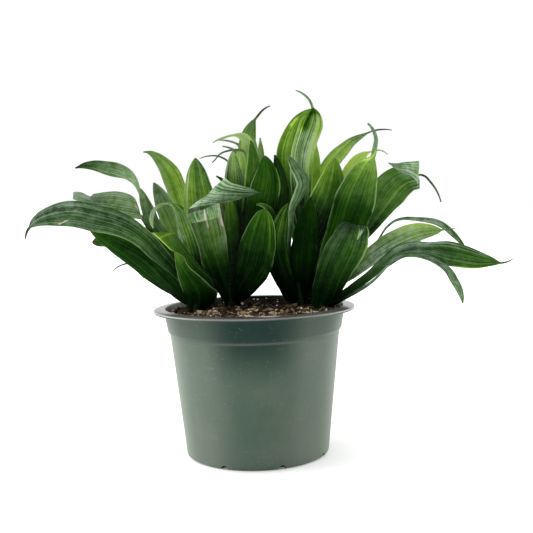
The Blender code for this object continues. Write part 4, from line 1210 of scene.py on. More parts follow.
LEFT_BACK = (
    Folded("creased left", 12, Look.DULL, tones=(0.15, 0.2, 0.18, 0.02, 0.36),
         waxes_and_sheens=(0, 0.4, 1.3, 1.3, 3.2), marks=(Mark((0.45, 0.97), (0.45, 0.1), 0.8),
         Mark((0.45, 0.1), (0.36, -0.8), 0.8), Mark((0.7, -0.6), (0.55, -0.2), 1.2, 0.4, Ink.WAX_AND_SHEEN),
         Mark((0.62, 0.1), (0.8, 0), 2, -0.2, Ink.TONE)), wave=0.4, clasp=8,
         pairs=(((-64.5, 162, 24), (-61, 167, 25)), ((-83.5, 183, 19), (-80, 189.5, 19)),
         ((-89.5, 193, 15), (-91, 200, 15)), ((-91.5, 194.5, 14), (-95.5, 213, 15)),
         ((-114, 198.5, 10), (-110.5, 218, 11)), ((-126, 203, 8), (-127, 216.5, 8.5)),
         ((-133, 207.5, 6.5), (-131, 214.5, 7)), ((-140.5, 210.5, 4.5), (-138.5, 218, 5)),
         ((-145, 212.5, 3), (-144.5, 218, 3)))),
    Leaf("twisted left", 16, Look.DULL, tones=(0.1, 0.14, 0.04, 0.2, -0.2), waxes_and_sheens=(0, 0.3, 0.8, 1.4, 0),
         width=16, widest=0.72, taper=0.8, cup=25, turn=(-150, -150, -150, -150, -150, -140, -110, -60,
         -30, -20, -20), route=((-61.5, 159, 37), (-71.5, 177, 36), (-82, 192, 34), (-86.5, 203.5, 31),
         (-90, 212.5, 29), (-93, 219, 26), (-96, 224, 23), (-100.5, 229.5, 20), (-107.5, 233.5, 17),
         (-117.5, 236.5, 15), (-127.5, 239, 14), (-136, 239, 13), (-142, 237.5, 12))),
    Leaf("dull left", 18, Look.FRESH, tones=(0, 0.1, 0.22, 0.14, -0.16), waxes_and_sheens=(2, 4, 9, 16, 17),
         marks=(Mark((0.5, -0.95), (0.95, -0.95), 1, 0.5, Ink.TONE),
         Mark((0.5, -0.95), (0.95, -0.95), 1, 0.5, Ink.WAX_AND_SHEEN)), width=21, widest=0.62, turn=(-160,),
         route=((-56, 170, 46), (-70, 203, 44), (-79, 224, 38))),
    Leaf("bright left", 22, Look.FRESH, tones=(0.2, 0.2, 0.24, 0.18, 0.08), waxes_and_sheens=(1, 1, 6, 4, 14),
         dry=0.3, marks=(Mark((0.5, 0.85), (0.95, 0.85), 1.5, 0.25, Ink.WAX_AND_SHEEN), ), width=18, widest=0.7,
         taper=1, turn=(-170,), route=((-46, 176.5, 54), (-53.5, 197, 56), (-59, 212, 58),
         (-62.5, 223.5, 59), (-66.5, 233, 60), (-71.5, 240, 60), (-77, 245.5, 60), (-82, 248.5, 59),
         (-86.5, 249, 58))),
    Leaf("upright left", 22, Look.FRESH, lean=0.12, tones=(0.2, 0.2, 0.36, 0.12, -0.06),
         waxes_and_sheens=(1, 1, 6, 4, 4), marks=(Mark((0.4, 0), (0.95, 0), 1.8, -0.15, Ink.TONE),
         Mark((0.5, 0.85), (0.9, 0.85), 2, 0.2, Ink.WAX_AND_SHEEN)), width=28, widest=0.6, cup=28, turn=(180,),
         route=((-38.5, 168, 37), (-41.5, 196.5, 33), (-43, 219, 32), (-44.5, 243, 34))),
    Arch("back left", 9, Look.MID, width=26, heading=130, reach=80, rise=84, droop=46, sway=-8),
    Arch("back left, low", 6, Look.DARK, width=24, heading=155, reach=60, rise=50, droop=30, sway=12),
    Arch("left of centre, back", 13, Look.FRESH, width=24, heading=108, reach=66, rise=78, droop=26,
         sway=4),
)

CENTRE_FRONT = (
    Folded("broad left", 5, Look.DULL, lean=0.06, tones=(-0.2, 0.04, 0.08, 0, 0.22),
         waxes_and_sheens=(0, 0.05, 0.5, 0.9, 1.6), marks=(Mark((0.72, 0.97), (0.58, 0.97), 2, 0.8),
         Mark((0.56, 0.97), (0.48, 0.92), 1.4, 0.9), Mark((0.94, 0.02), (0.46, 0.12), 0.9, 0.7),
         Mark((0.2, -0.95), (0.6, -0.95), 1, 0.3, Ink.TONE),
         Mark((0.3, 0.85), (0.7, 0.85), 2, 0.2, Ink.WAX_AND_SHEEN)), clasp=16,
         pairs=(((-41, 153.5, 13), (-19.5, 157.5, 10)), ((-52, 182.5, 13), (-21.5, 177.5, 8)),
         ((-53, 196, 11), (-26, 204, 7)), ((-52, 191, 6), (-25.5, 202.5, 3)),
         ((-50.5, 189.5, 3), (-25, 194, 1)))),
    Folded("flap over the left", 16, Look.DULL, tones=(0.15, 0.34, 0.2, -0.1, -0.25),
         waxes_and_sheens=(1.2, 3, 2.2, 0.9, 0.2), pairs=(((-42, 160, 21), (-17, 162, 18)),
         ((-52, 184, 21), (-14, 195, 16)), ((-52, 199, 18), (-21, 223, 14)),
         ((-42, 203, 9), (-14, 221, 8)), ((-18, 206.5, 3), (0, 217, 4)), ((7, 213, 2), (9, 213.5, 2)))),
    Leaf("narrow centre", 6, Look.MID, tones=(-0.4, -0.35, -0.24, -0.02, 0.3),
         marks=(Mark((0.3, -0.9), (0.9, -0.9), 1.5, 0.12, Ink.TONE),
         Mark((0.3, 0.9), (0.95, 0.9), 1.5, -0.16, Ink.TONE)), width=14, widest=0.7, turn=(20,),
         route=((-16, 150, 14), (-16, 190, 13), (-18, 212, 13))),
    Leaf("front centre", 8, Look.DARK, lean=0.04, tones=(-0.02, -0.06, -0.1, 0.08, 0.26),
         marks=(Mark((0.6, 0.7), (0.95, 0.5), 1.6, 0.15, Ink.TONE),
         Mark((0.5, 0.97), (0.9, 0.97), 1, 0.25, Ink.TONE)), width=31, widest=0.55, taper=0.5, cup=25,
         clasp=17, route=((-8, 138, 1), (0.5, 154.5, -8), (4, 168.5, -10), (7, 181.5, -12),
         (10.5, 200, -12))),
    Leaf("broad centre", 16, Look.DARK, tones=(-0.2, -0.2, -0.05, 0.14, 0.16),
         marks=(Mark((0.74, 0.97), (0.9, 0.97), 1, 0.4, Ink.TONE),), width=27, widest=0.7, cup=25,
         route=((5, 187.5, 14), (9.5, 207.5, 12), (13, 225.5, 12), (12, 243.5, 14))),
    Leaf("beside the broad centre", 20, Look.MID, tones=(-0.4, -0.4, -0.32, 0.05, 0.05),
         marks=(Mark((0.5, -0.95), (0.95, -0.95), 1, 0.25, Ink.TONE), ), width=15, widest=0.66,
         route=((-0.5, 204, 18), (1.5, 220, 18), (2.5, 236, 18), (1, 256, 19))),
    Leaf("behind the broad centre", 22, Look.MID, tones=(-0.16, -0.16, -0.1), width=18, turn=(20,),
         route=((24, 203, 24), (24.5, 223.5, 25), (22.5, 235, 26), (20, 244, 26))),
    Leaf("small centre", 10, Look.FRESH, tones=(-0.3, -0.3, -0.4, -0.42, 0.1),
         marks=(Mark((0.8, 0.95), (0.98, 0.95), 1, 0.8, Ink.WAX_AND_SHEEN),), width=8, widest=0.7, turn=(180,),
         route=((6, 160, 14), (16, 187, 8.5), (15.5, 197, 7), (11, 202.5, 6), (4, 204, 5))),
)

CENTRE_BACK = (
    Leaf("centre spire", 26, Look.DULL, tones=(0.5, 0.5, 0.78, 0.3, -0.2), waxes_and_sheens=(1, 1, 1.2, 0.4, 0.7),
         width=16, widest=0.72, taper=0.8, tail=0.11, tail_width=2.2, turn=(10,), route=((-4.5, 236.5, 58),
         (-2, 252.5, 61), (0.5, 263.5, 62), (2.5, 268.5, 61.5), (4.5, 272.5, 61), (7, 275.5, 60),
         (10, 279, 60), (13, 281.5, 60), (17.5, 283.5, 60))),
    Leaf("pale streamer", 26, Look.PALE, tones=(0.2, 0.2, 0.24, 0.32, 0.3),
         waxes_and_sheens=(0.3, 0.3, 0.3, 0.9, 2.2), dry=0.3, width=13, widest=0.7, taper=0.9, tail=0.12,
         tail_width=2.2, turn=(180, 180, 180, 180, 150), route=((-2, 228, 44), (-1, 244.5, 42),
         (-2, 252.5, 41), (-4, 258, 40), (-9, 260.5, 38.5), (-14.5, 260.5, 37), (-20.5, 259, 36),
         (-25.5, 257.5, 35.5), (-30, 255, 35))),
    Leaf("thin streamer", 22, Look.PALE, tones=(-0.15, -0.1, -0.15), dry=0, width=7, widest=0.72, tail=0.1,
         tail_width=2.2, turn=(180, 180, 150, 140), route=((-3, 228, 51), (-3.5, 240.5, 50), (-5, 248, 50),
         (-8.5, 252.5, 50), (-13, 255, 50), (-18.5, 256.5, 50), (-26, 257, 50))),
    Leaf("short streamer", 18, Look.PALE, tones=(-0.2,), dry=0, width=6, tail=0.2, tail_width=2.8,
         route=((-7, 228.5, 64), (-8.5, 242, 67), (-12, 248, 68), (-19.5, 251.5, 68), (-22.5, 252, 68))),
    Leaf("curled streamer", 20, Look.OLIVE, tones=(-0.2, -0.2, -0.1, 0.25, -0.05),
         waxes_and_sheens=(0.2, 0.2, 0.1, 1.4, 3.2), dry=0, width=7, widest=0.55, tail=0.26, tail_width=2.8,
         turn=(180, 180, 140, 130), route=((-3.5, 228.5, 34), (-2.5, 240.5, 34), (-5, 247.5, 34),
         (-11.5, 249, 34), (-17, 248.5, 34.5), (-21, 247.5, 35), (-25, 245.5, 36), (-28, 242, 37),
         (-31, 239, 38))),
    Leaf("low streamer", 18, Look.DULL, tones=(0, 0, -0.1), dry=0, width=14, widest=0.66, tail=0.2,
         tail_width=2, turn=(0, 0, -20, -50), route=((-9, 216, 56), (-12, 227.5, 57), (-15.5, 236.5, 58),
         (-20.5, 241.5, 58), (-26, 244, 58), (-32.5, 244.5, 58), (-41, 242.5, 58))),
    Leaf("striped centre", 24, Look.STRIPED, lean=0.1, tones=(-0.45, -0.45, -0.36, 0.02, 0.42),
         waxes_and_sheens=(0.5, 0.5, 0.6, 1, 6), marks=(Mark((0.5, 0.9), (0.98, 0.9), 1.4, 0.6, Ink.WAX_AND_SHEEN),
         Mark((0.5, 0.9), (0.98, 0.9), 1.4, 0.25, Ink.TONE)), width=20, widest=0.6, cup=30, turn=(180,),
         route=((-12.5, 204, 38), (-13.5, 220.5, 38), (-14, 234, 37), (-13.5, 248.5, 36))),
    Leaf("dark tip", 16, Look.MID, dry=0.2, width=9, route=((-12.5, 204, 45), (-18.5, 218, 47),
         (-23, 224.5, 48), (-28, 228, 48))),
    Leaf("green tip", 24, Look.PALE, tones=(0.1,), waxes_and_sheens=(0.5,), width=9, widest=0.7,
         route=((5, 216, 34), (8.5, 240, 34), (8.5, 258, 34))),
    Leaf("pale tip", 22, Look.PALE, tones=(0.08,), waxes_and_sheens=(0.7,), width=8, widest=0.86, turn=(180,),
         route=((1, 216, 38), (3, 240, 38), (4, 257.5, 38))),
    Arch("back centre", 10, Look.MID, width=26, heading=88, reach=92, rise=92, droop=44, sway=8),
    Arch("back centre, left", 8, Look.DARK, width=25, heading=118, reach=84, rise=70, droop=34, sway=-8),
    Arch("back centre, high", 16, Look.FRESH, width=22, heading=70, reach=60, rise=98, droop=20, sway=4),
)

RIGHT_FRONT = (
    Folded("front right", 3, Look.DARK, lean=0.05, tones=(0.2, 0.2, 0.04, -0.14, 0.3),
         waxes_and_sheens=(2, 4, 14, 8, 2), marks=(Mark((0.2, 0.97), (0.65, 0.97), 1.2, 0.3, Ink.TONE),
         Mark((0.89, 0.5), (0.98, 0.2), 5, 0.9, Ink.WAX_AND_SHEEN),
         Mark((0.89, 0.5), (0.98, 0.2), 5, 0.3, Ink.TONE)), clasp=24,
         pairs=(((49, 140, -12), (80, 140, -13)), ((57, 163, -20), (93, 162, -22)),
         ((66, 178, -26), (96, 174, -27)), ((74, 187, -30), (95, 182, -30)),
         ((82, 182, -34), (92, 180, -34)), ((85, 173, -35), (87, 173, -35)))),
    Leaf("broad right", 12, Look.MID, tones=(-0.1, 0.1, -0.18, 0.28, -0.08), waxes_and_sheens=(0, 0, 0, 4, 36), dry=0,
         marks=(Mark((0.52, 0.97), (0.68, 0.97), 1, 0.35, Ink.TONE),
         Mark((0.76, -0.9), (0.83, 0.5), 2.5, 0.3, Ink.TONE)), width=34, widest=0.52, tail=0.2,
         tail_width=4.2, clasp=14, route=((66, 160, -4), (78, 185, -8), (84.5, 203, -10), (91.5, 222, -9),
         (97, 234, -7), (100.5, 241, -5), (102, 248, -3), (103, 254.5, -1), (101.5, 260.5, 0),
         (96.5, 267.5, 2))),
    Leaf("far right", 4, Look.MID, tones=(0.08, -0.04, -0.1, 0.02, 0.14), waxes_and_sheens=(0, 0.8, 9, 3, 3.5), dry=1,
         marks=(Mark((0.42, -0.6), (0.67, -0.85), 2.2, -0.35, Ink.TONE),
         Mark((0.72, -0.95), (0.88, -0.95), 1, 0.35, Ink.TONE),
         Mark((0.45, 0.9), (0.85, 0.9), 2.5, 0.3, Ink.WAX_AND_SHEEN)), width=21, widest=0.68, taper=0.8, tail=0.06,
         wave=0.4, clasp=15, turn=(95, 100, 108, 110, 112, 117, 128, 165, 172, 175, 175),
         route=((73, 127, -8), (94, 140, -9), (110, 153, -11), (121, 160, -12), (133.5, 162.5, -13),
         (146, 161.5, -15), (158.5, 159.5, -17), (170.5, 157, -19), (183, 154, -21), (195.5, 152, -22),
         (206, 150.5, -22), (214.5, 153.5, -22))),
    Leaf("drooping right", 4, Look.DULL, tones=(-0.05, -0.06, -0.08, -0.12, 0.05),
         waxes_and_sheens=(0, 0.5, 1, 0.9, 1.2), width=10, widest=0.82, turn=(60, 64, 70, 73, 62, 45),
         route=((74, 125, -10), (99, 138, -18), (109.5, 148.5, -24), (115.5, 155, -28), (125, 157.5, -30),
         (135.5, 157.5, -32), (146, 154.5, -34), (154, 150, -35), (160.5, 144.5, -36), (165, 137, -37),
         (169, 130, -38), (172.5, 118, -38))),
)

RIGHT_CENTRE = (
    Leaf("upright right", 10, Look.MID, tones=(-0.04, -0.04, -0.4, 0.07, 0.34),
         marks=(Mark((0.4, -0.97), (0.9, -0.97), 1, 0.3, Ink.TONE),), width=31, widest=0.6, clasp=16,
         route=((43.5, 165.5, 8), (55, 188.5, 8), (62, 206, 8), (66, 219, 8), (69, 240, 10))),
    Leaf("twisted centre", 14, Look.DUSKY, tones=(-0.1, -0.03, 0.05, 0.02, 0.05),
         waxes_and_sheens=(0, 0, 0.8, 0.9, 0.9), marks=(Mark((0.6, -0.97), (0.95, -0.97), 1.2, 0.3, Ink.TONE),
         Mark((0.6, -0.97), (0.95, -0.97), 1.2, 0.3, Ink.WAX_AND_SHEEN)), width=16, widest=0.8,
         turn=(70, 72, 74, 66, 45, 42), route=((31, 170, 8), (33, 186.5, 4), (35, 200.5, 0),
         (40.5, 211, -2), (43.5, 219, -2), (42, 226.5, -1), (37.5, 233.5, 0), (31.5, 243, 2))),
    Leaf("ridged right", 4, Look.NIGHT, tones=(0, 0.02, 0.04, 0.09, 0.1), width=21, clasp=16,
         route=((41, 152, 5), (45, 185, 3), (49, 209, 3))),
    Leaf("mottled strip", 6, Look.STRIPED, tones=(-0.62, -0.54, -0.46, -0.16, -0.12),
         waxes_and_sheens=(0, 0, 0, 0.2, 0.2), width=17, clasp=13, route=((24.5, 148, 3), (20.5, 172, 2),
         (24, 189, 2), (30, 204, 2))),
    Leaf("strip over the gap", 4, Look.NIGHT, tones=(-0.1,),
         marks=(Mark((0.25, 0.8), (0.5, 0.8), 0.8, 0.8, Ink.WAX_AND_SHEEN),), width=6, clasp=5, turn=(60,),
         route=((29, 124, 9), (22, 136, 10), (15, 150, 10), (8, 168, 6))),
)

RIGHT_BACK = (
    Leaf("tallest right", 24, Look.STRIPED, tones=(-0.35, -0.35, -0.2, 0.24, 0.14, -0.05),
         waxes_and_sheens=(0, 0.3, 0.6, 3.6, 2.4, 5), dry=0.2,
         marks=(Mark((0.85, -0.9), (0.85, 0.9), 3, -0.3, Ink.TONE),
         Mark((0.76, -0.5), (0.83, -0.5), 2.5, -0.25, Ink.TONE),
         Mark((0.76, -0.5), (0.85, -0.5), 4, -0.6, Ink.WAX_AND_SHEEN),
         Mark((0.85, -0.9), (0.85, 0.9), 3, -0.5, Ink.WAX_AND_SHEEN), Mark((0.6, 0.3), (0.74, 0.5), 3, 0.3, Ink.WAX_AND_SHEEN),
         Mark((0.87, 0), (0.88, 0.4), 1.6, 0.6)), width=21, widest=0.775, tail=0.135, tail_width=2.4,
         cup=30, route=((44, 178, 28), (41, 215, 28), (41.5, 235, 28), (43.5, 247.5, 28.5),
         (46, 255.5, 29), (49, 263.5, 30), (51.5, 270.5, 32), (52.5, 276.5, 33.5), (51.5, 282.5, 35),
         (49, 288, 36), (45, 292, 37), (38.5, 295.5, 38))),
    Leaf("tallest right, lit half", 26, Look.BACKLIT_LIME, tones=(-0.42, -0.42, -0.28, -0.06, -0.2),
         marks=(Mark((0.86, -0.62), (0.9, -0.56), 2.2, 0.3, Ink.TONE), ), width=23, widest=0.62, cup=30,
         route=((44, 175, 33), (36, 215, 33), (31.5, 240, 33), (35.5, 260, 34), (43, 273, 35),
         (51, 280, 36))),
    Leaf("lime behind", 22, Look.BACKLIT_LIME, tones=(0, 0, 0, 0.05, 0.22), waxes_and_sheens=(1, 1, 1, 1, 14), width=15,
         turn=(180,), route=((48, 178, 42), (50, 206.5, 43), (52, 231, 44), (53, 255, 44))),
    Leaf("arched right", 22, Look.FRESH, tones=(0.1, 0.1, 0.2, 0.18, -0.34), waxes_and_sheens=(6, 6, 8, 12, 20),
         dry=0.8, width=14.5, widest=0.62, taper=1.1, tail=0.1, tail_width=1.8, turn=(-10, -10, 10, 40),
         route=((49.5, 202.5, 52), (57.5, 220, 53), (64.5, 234, 54), (70.5, 241, 54), (77, 247, 54),
         (83, 252.5, 54), (91, 257, 54), (100, 261, 54), (116, 261.5, 54))),
    Leaf("lime right", 18, Look.BACKLIT_LIME, tones=(-0.3, 0.1, 0.2, 0.3, 0.2), waxes_and_sheens=(1, 1, 1, 5, 40), dry=0.2,
         width=19, widest=0.68, taper=0.9, tail=0.12, turn=(180,), route=((72.5, 193.5, 22),
         (79.5, 214, 20), (84, 228.5, 20), (89, 238, 20), (94.5, 243, 20), (101, 245, 20),
         (106, 245.5, 21), (112.5, 241.5, 22))),
    Folded("folded right", 12, Look.DULL, tones=(-0.2, 0.16, 0.1, 0.16, 0), waxes_and_sheens=(0, 0.2, 0.3, 2, 1.1),
         marks=(Mark((0.58, 0.97), (0.62, 0), 1.2, 0.9, Ink.WAX_AND_SHEEN),
         Mark((0.62, 0), (0.64, -0.8), 1.2, 0.9, Ink.WAX_AND_SHEEN)), pairs=(((76, 172, 34), (92, 170, 32)),
         ((93, 203, 31), (115, 193.5, 28)), ((102.5, 222, 28), (125, 203.5, 23)),
         ((115.5, 231, 25), (132.5, 211.5, 20)), ((136.5, 235.5, 19), (137.5, 214, 16)),
         ((128, 235.5, 9), (132, 222.5, 7.5)), ((119, 234.5, 6), (122, 227.5, 5)),
         ((112.5, 235.5, 4), (113, 234.5, 4)))),
    Leaf("right thread", 12, Look.OLIVE, tones=(0.2, 0.2, 0.1, -0.1, -0.15), dry=0.1, width=8, widest=0.4,
         tail=0.3, tail_width=3.6, turn=(60,), route=((84, 165, 46), (109.5, 192.5, 47),
         (124.5, 212.5, 48), (132, 221.5, 47), (137.5, 224.5, 46), (142, 223.5, 45), (146.5, 219, 44),
         (151.5, 212, 42), (155.5, 201.5, 40))),
    Leaf("right bow", 8, Look.DULL, tones=(-0.2, -0.2, -0.2, -0.08, 0.02), waxes_and_sheens=(0.7, 0.7, 0.8, 1.5, 0.2),
         dry=0.1, width=10, widest=0.76, turn=(60, 70, 76, 72, 58, 50), route=((84, 150, 42),
         (103, 170.5, 42), (111.5, 182.5, 41), (118, 187, 40), (125.5, 188.5, 39.5), (134, 188, 39),
         (142, 187, 38), (149.5, 185.5, 37), (157, 182, 36), (163.5, 176.5, 35), (169, 171, 33),
         (176, 162, 31))),
    Leaf("light right", 8, Look.PALE, lean=0.06, tones=(-0.08, -0.08, -0.08, 0.13, 0),
         waxes_and_sheens=(0, 0.1, 1.1, 0.8, 0.4), width=19, widest=0.68, tail=0.08, clasp=14,
         turn=(110, 130, 165, 170), route=((82, 146, 24), (104, 163, 25), (120, 172, 26), (138, 178, 26),
         (155, 179, 26), (167, 180, 26))),
    Arch("back right", 10, Look.MID, width=26, heading=78, reach=92, rise=90, droop=44, sway=-8),
    Arch("back right, low", 8, Look.DARK, width=25, heading=48, reach=84, rise=66, droop=34, sway=8),
    Arch("back right, inner", 12, Look.FRESH, width=24, heading=106, reach=78, rise=82, droop=34, sway=6),
)

CANES = (
    LeafyCane("leafy_cane_left_front", "stem_left_front", (-46.0, -3.0), LEFT_FRONT),
    LeafyCane("leafy_cane_left_back", "stem_left_back", (-38.0, 36.0), LEFT_BACK),
    LeafyCane("leafy_cane_centre_front", "stem_centre_front", (-18.0, 12.0), CENTRE_FRONT),
    LeafyCane("leafy_cane_centre_back", "stem_centre_back", (-16.0, 46.0), CENTRE_BACK),
    LeafyCane("leafy_cane_right_front", "stem_right_front", (56.0, -4.0), RIGHT_FRONT),
    LeafyCane("leafy_cane_right_centre", "stem_right_centre", (38.0, 10.0), RIGHT_CENTRE),
    LeafyCane("leafy_cane_right_back", "stem_right_back", (47.0, 31.0), RIGHT_BACK),
)


@dataclass
class PotShell:
    """The pot: a thin turned shell with a flat lip, a step below its band and drain notches."""
    lip_radius: float = 82.5
    lip_top: float = 121.6
    lip_drop: float = 2.2
    lip_thickness: float = 1.4
    lip_fall: float = 0.3
    wall: float = 1.5
    band_top_radius: float = 74.4
    band_foot_radius: float = 71.0
    step_height: float = 100.6
    step_rise: float = 2.0
    body_top_radius: float = 69.4
    body_foot_radius: float = 59.2
    foot_height: float = 5.0
    base_radius: float = 55.8
    floor: float = 2.0
    sides: int = 288
    notches: int = 8
    notch_radius: float = 3.4
    notch_first: float = -72.0
    notch_inner: float = 52.5
    notch_outer: float = 63.0
    notch_sides: int = 32
    longest: float = 6.0

    def profile(self) -> Array:
        """The half section, from the axis up the inside, over the lip and down the outside.

        Returns:
            Points (radius, height) of the rounded section.
        """
        body_foot = self.body_foot_radius
        corners = [(0.0, self.floor, 0),
                   (self.base_radius - 1.3, self.floor, 1.0),
                   (body_foot - self.wall - 0.4, self.foot_height + 0.6, 1.5),
                   (self.body_top_radius - self.wall, self.step_height, 0.8),
                   (self.band_foot_radius - self.wall, self.step_height + self.step_rise, 0.8),
                   (self.band_top_radius - self.wall, self.lip_top, 1.5),
                   (self.lip_radius - 3.2, self.lip_top - self.lip_fall, 1.2),
                   (self.lip_radius + 0.1, self.lip_top - self.lip_drop * 0.55, 1.0),
                   (self.lip_radius - 0.1, self.lip_top - self.lip_drop - 1.1, 0.5),
                   (self.lip_radius - 1.5, self.lip_top - self.lip_drop - 0.9, 0.5),
                   (self.lip_radius - 3.8, self.lip_top - self.lip_fall - self.lip_thickness, 1.0),
                   (self.band_top_radius, self.lip_top - self.lip_thickness - 0.1, 1.8),
                   (self.band_foot_radius + 0.3, self.step_height + self.step_rise + 0.4, 0.7),
                   (self.body_top_radius + 0.2, self.step_height + 0.2, 0.9),
                   (body_foot, self.foot_height, 3.0),
                   (body_foot - 0.4, 1.6, 1.4),
                   (self.base_radius + 1.2, 0.0, 1.0),
                   (0.0, 0.0, 0)]
        return rounded(corners)

    def build(self, plastic: bpy.types.Material) -> None:
        """Turn the profile, in pieces no longer than longest, and cut the notches out of its foot.

        Args:
            plastic: the finish.
        """
        line = self.profile()
        fine = [line[0]]
        for start, end in zip(line, line[1:]):
            pieces = max(1, math.ceil(np.linalg.norm(end - start) / self.longest))
            fine.extend(start + (end - start) * (k + 1) / pieces for k in range(pieces))
        pot = turned(np.array(fine), self.sides).to_object("pot_shell", [plastic])
        cutters = bpy.data.collections.new("notches")
        bpy.context.scene.collection.children.link(cutters)
        for number in range(self.notches):
            bearing = math.radians(self.notch_first + number * 360 / self.notches)
            cutters.objects.link(self.notch_cutter(bearing))
        cut = pot.modifiers.new("cut", "BOOLEAN")
        cut.operation = "DIFFERENCE"
        cut.solver = "EXACT"
        cut.operand_type = "COLLECTION"
        cut.collection = cutters
        bpy.context.view_layer.update()
        mesh = bpy.data.meshes.new_from_object(pot.evaluated_get(bpy.context.evaluated_depsgraph_get()))
        pot.modifiers.clear()
        pot.data = mesh
        mesh.name = "pot_shell"
        mesh.shade_smooth()
        mesh.set_sharp_from_angle(angle=SHARP_ANGLE)
        for cutter in list(cutters.objects):
            bpy.data.objects.remove(cutter, do_unlink=True)
        bpy.data.collections.remove(cutters)
        finish_piece(pot, "pot", "pot")

    def notch_cutter(self, bearing: float) -> bpy.types.Object:
        """A lying cylinder at this bearing, as a surface turned about its own axis.

        Args:
            bearing: the notch's angle round the pot.

        Returns:
            The cutter, out of the scene.
        """
        profile = np.array([[0.0, self.notch_outer], [self.notch_radius, self.notch_outer],
                            [self.notch_radius, self.notch_inner], [0.0, self.notch_inner]])
        cutter = turned(profile, self.notch_sides)
        turn = Matrix.Rotation(bearing, 3, "Z") @ Matrix.Rotation(math.pi / 2, 3, "Y")
        cutter.points = cutter.points @ np.array(turn).T
        made = cutter.to_object("notch", [])
        bpy.context.scene.collection.objects.unlink(made)
        return made


@dataclass(frozen=True)
class Litter:
    """Loose pieces of one kind that lie on the soil.

    least and greatest are their lengths, and breadth and thickness are shares of the length. lift is how
    high they stand over the bed, and front the power that crowds them towards the viewer, 1 for none.
    tones are the least and greatest tone of the nearest pieces, and the far ones are darkened as painted
    shade. rounding is how often their corners are smoothed.
    """
    name: str
    count: int
    least: float
    greatest: float
    breadth: float
    thickness: float
    lift: float
    front: float
    tones: tuple
    rounding: int = 0


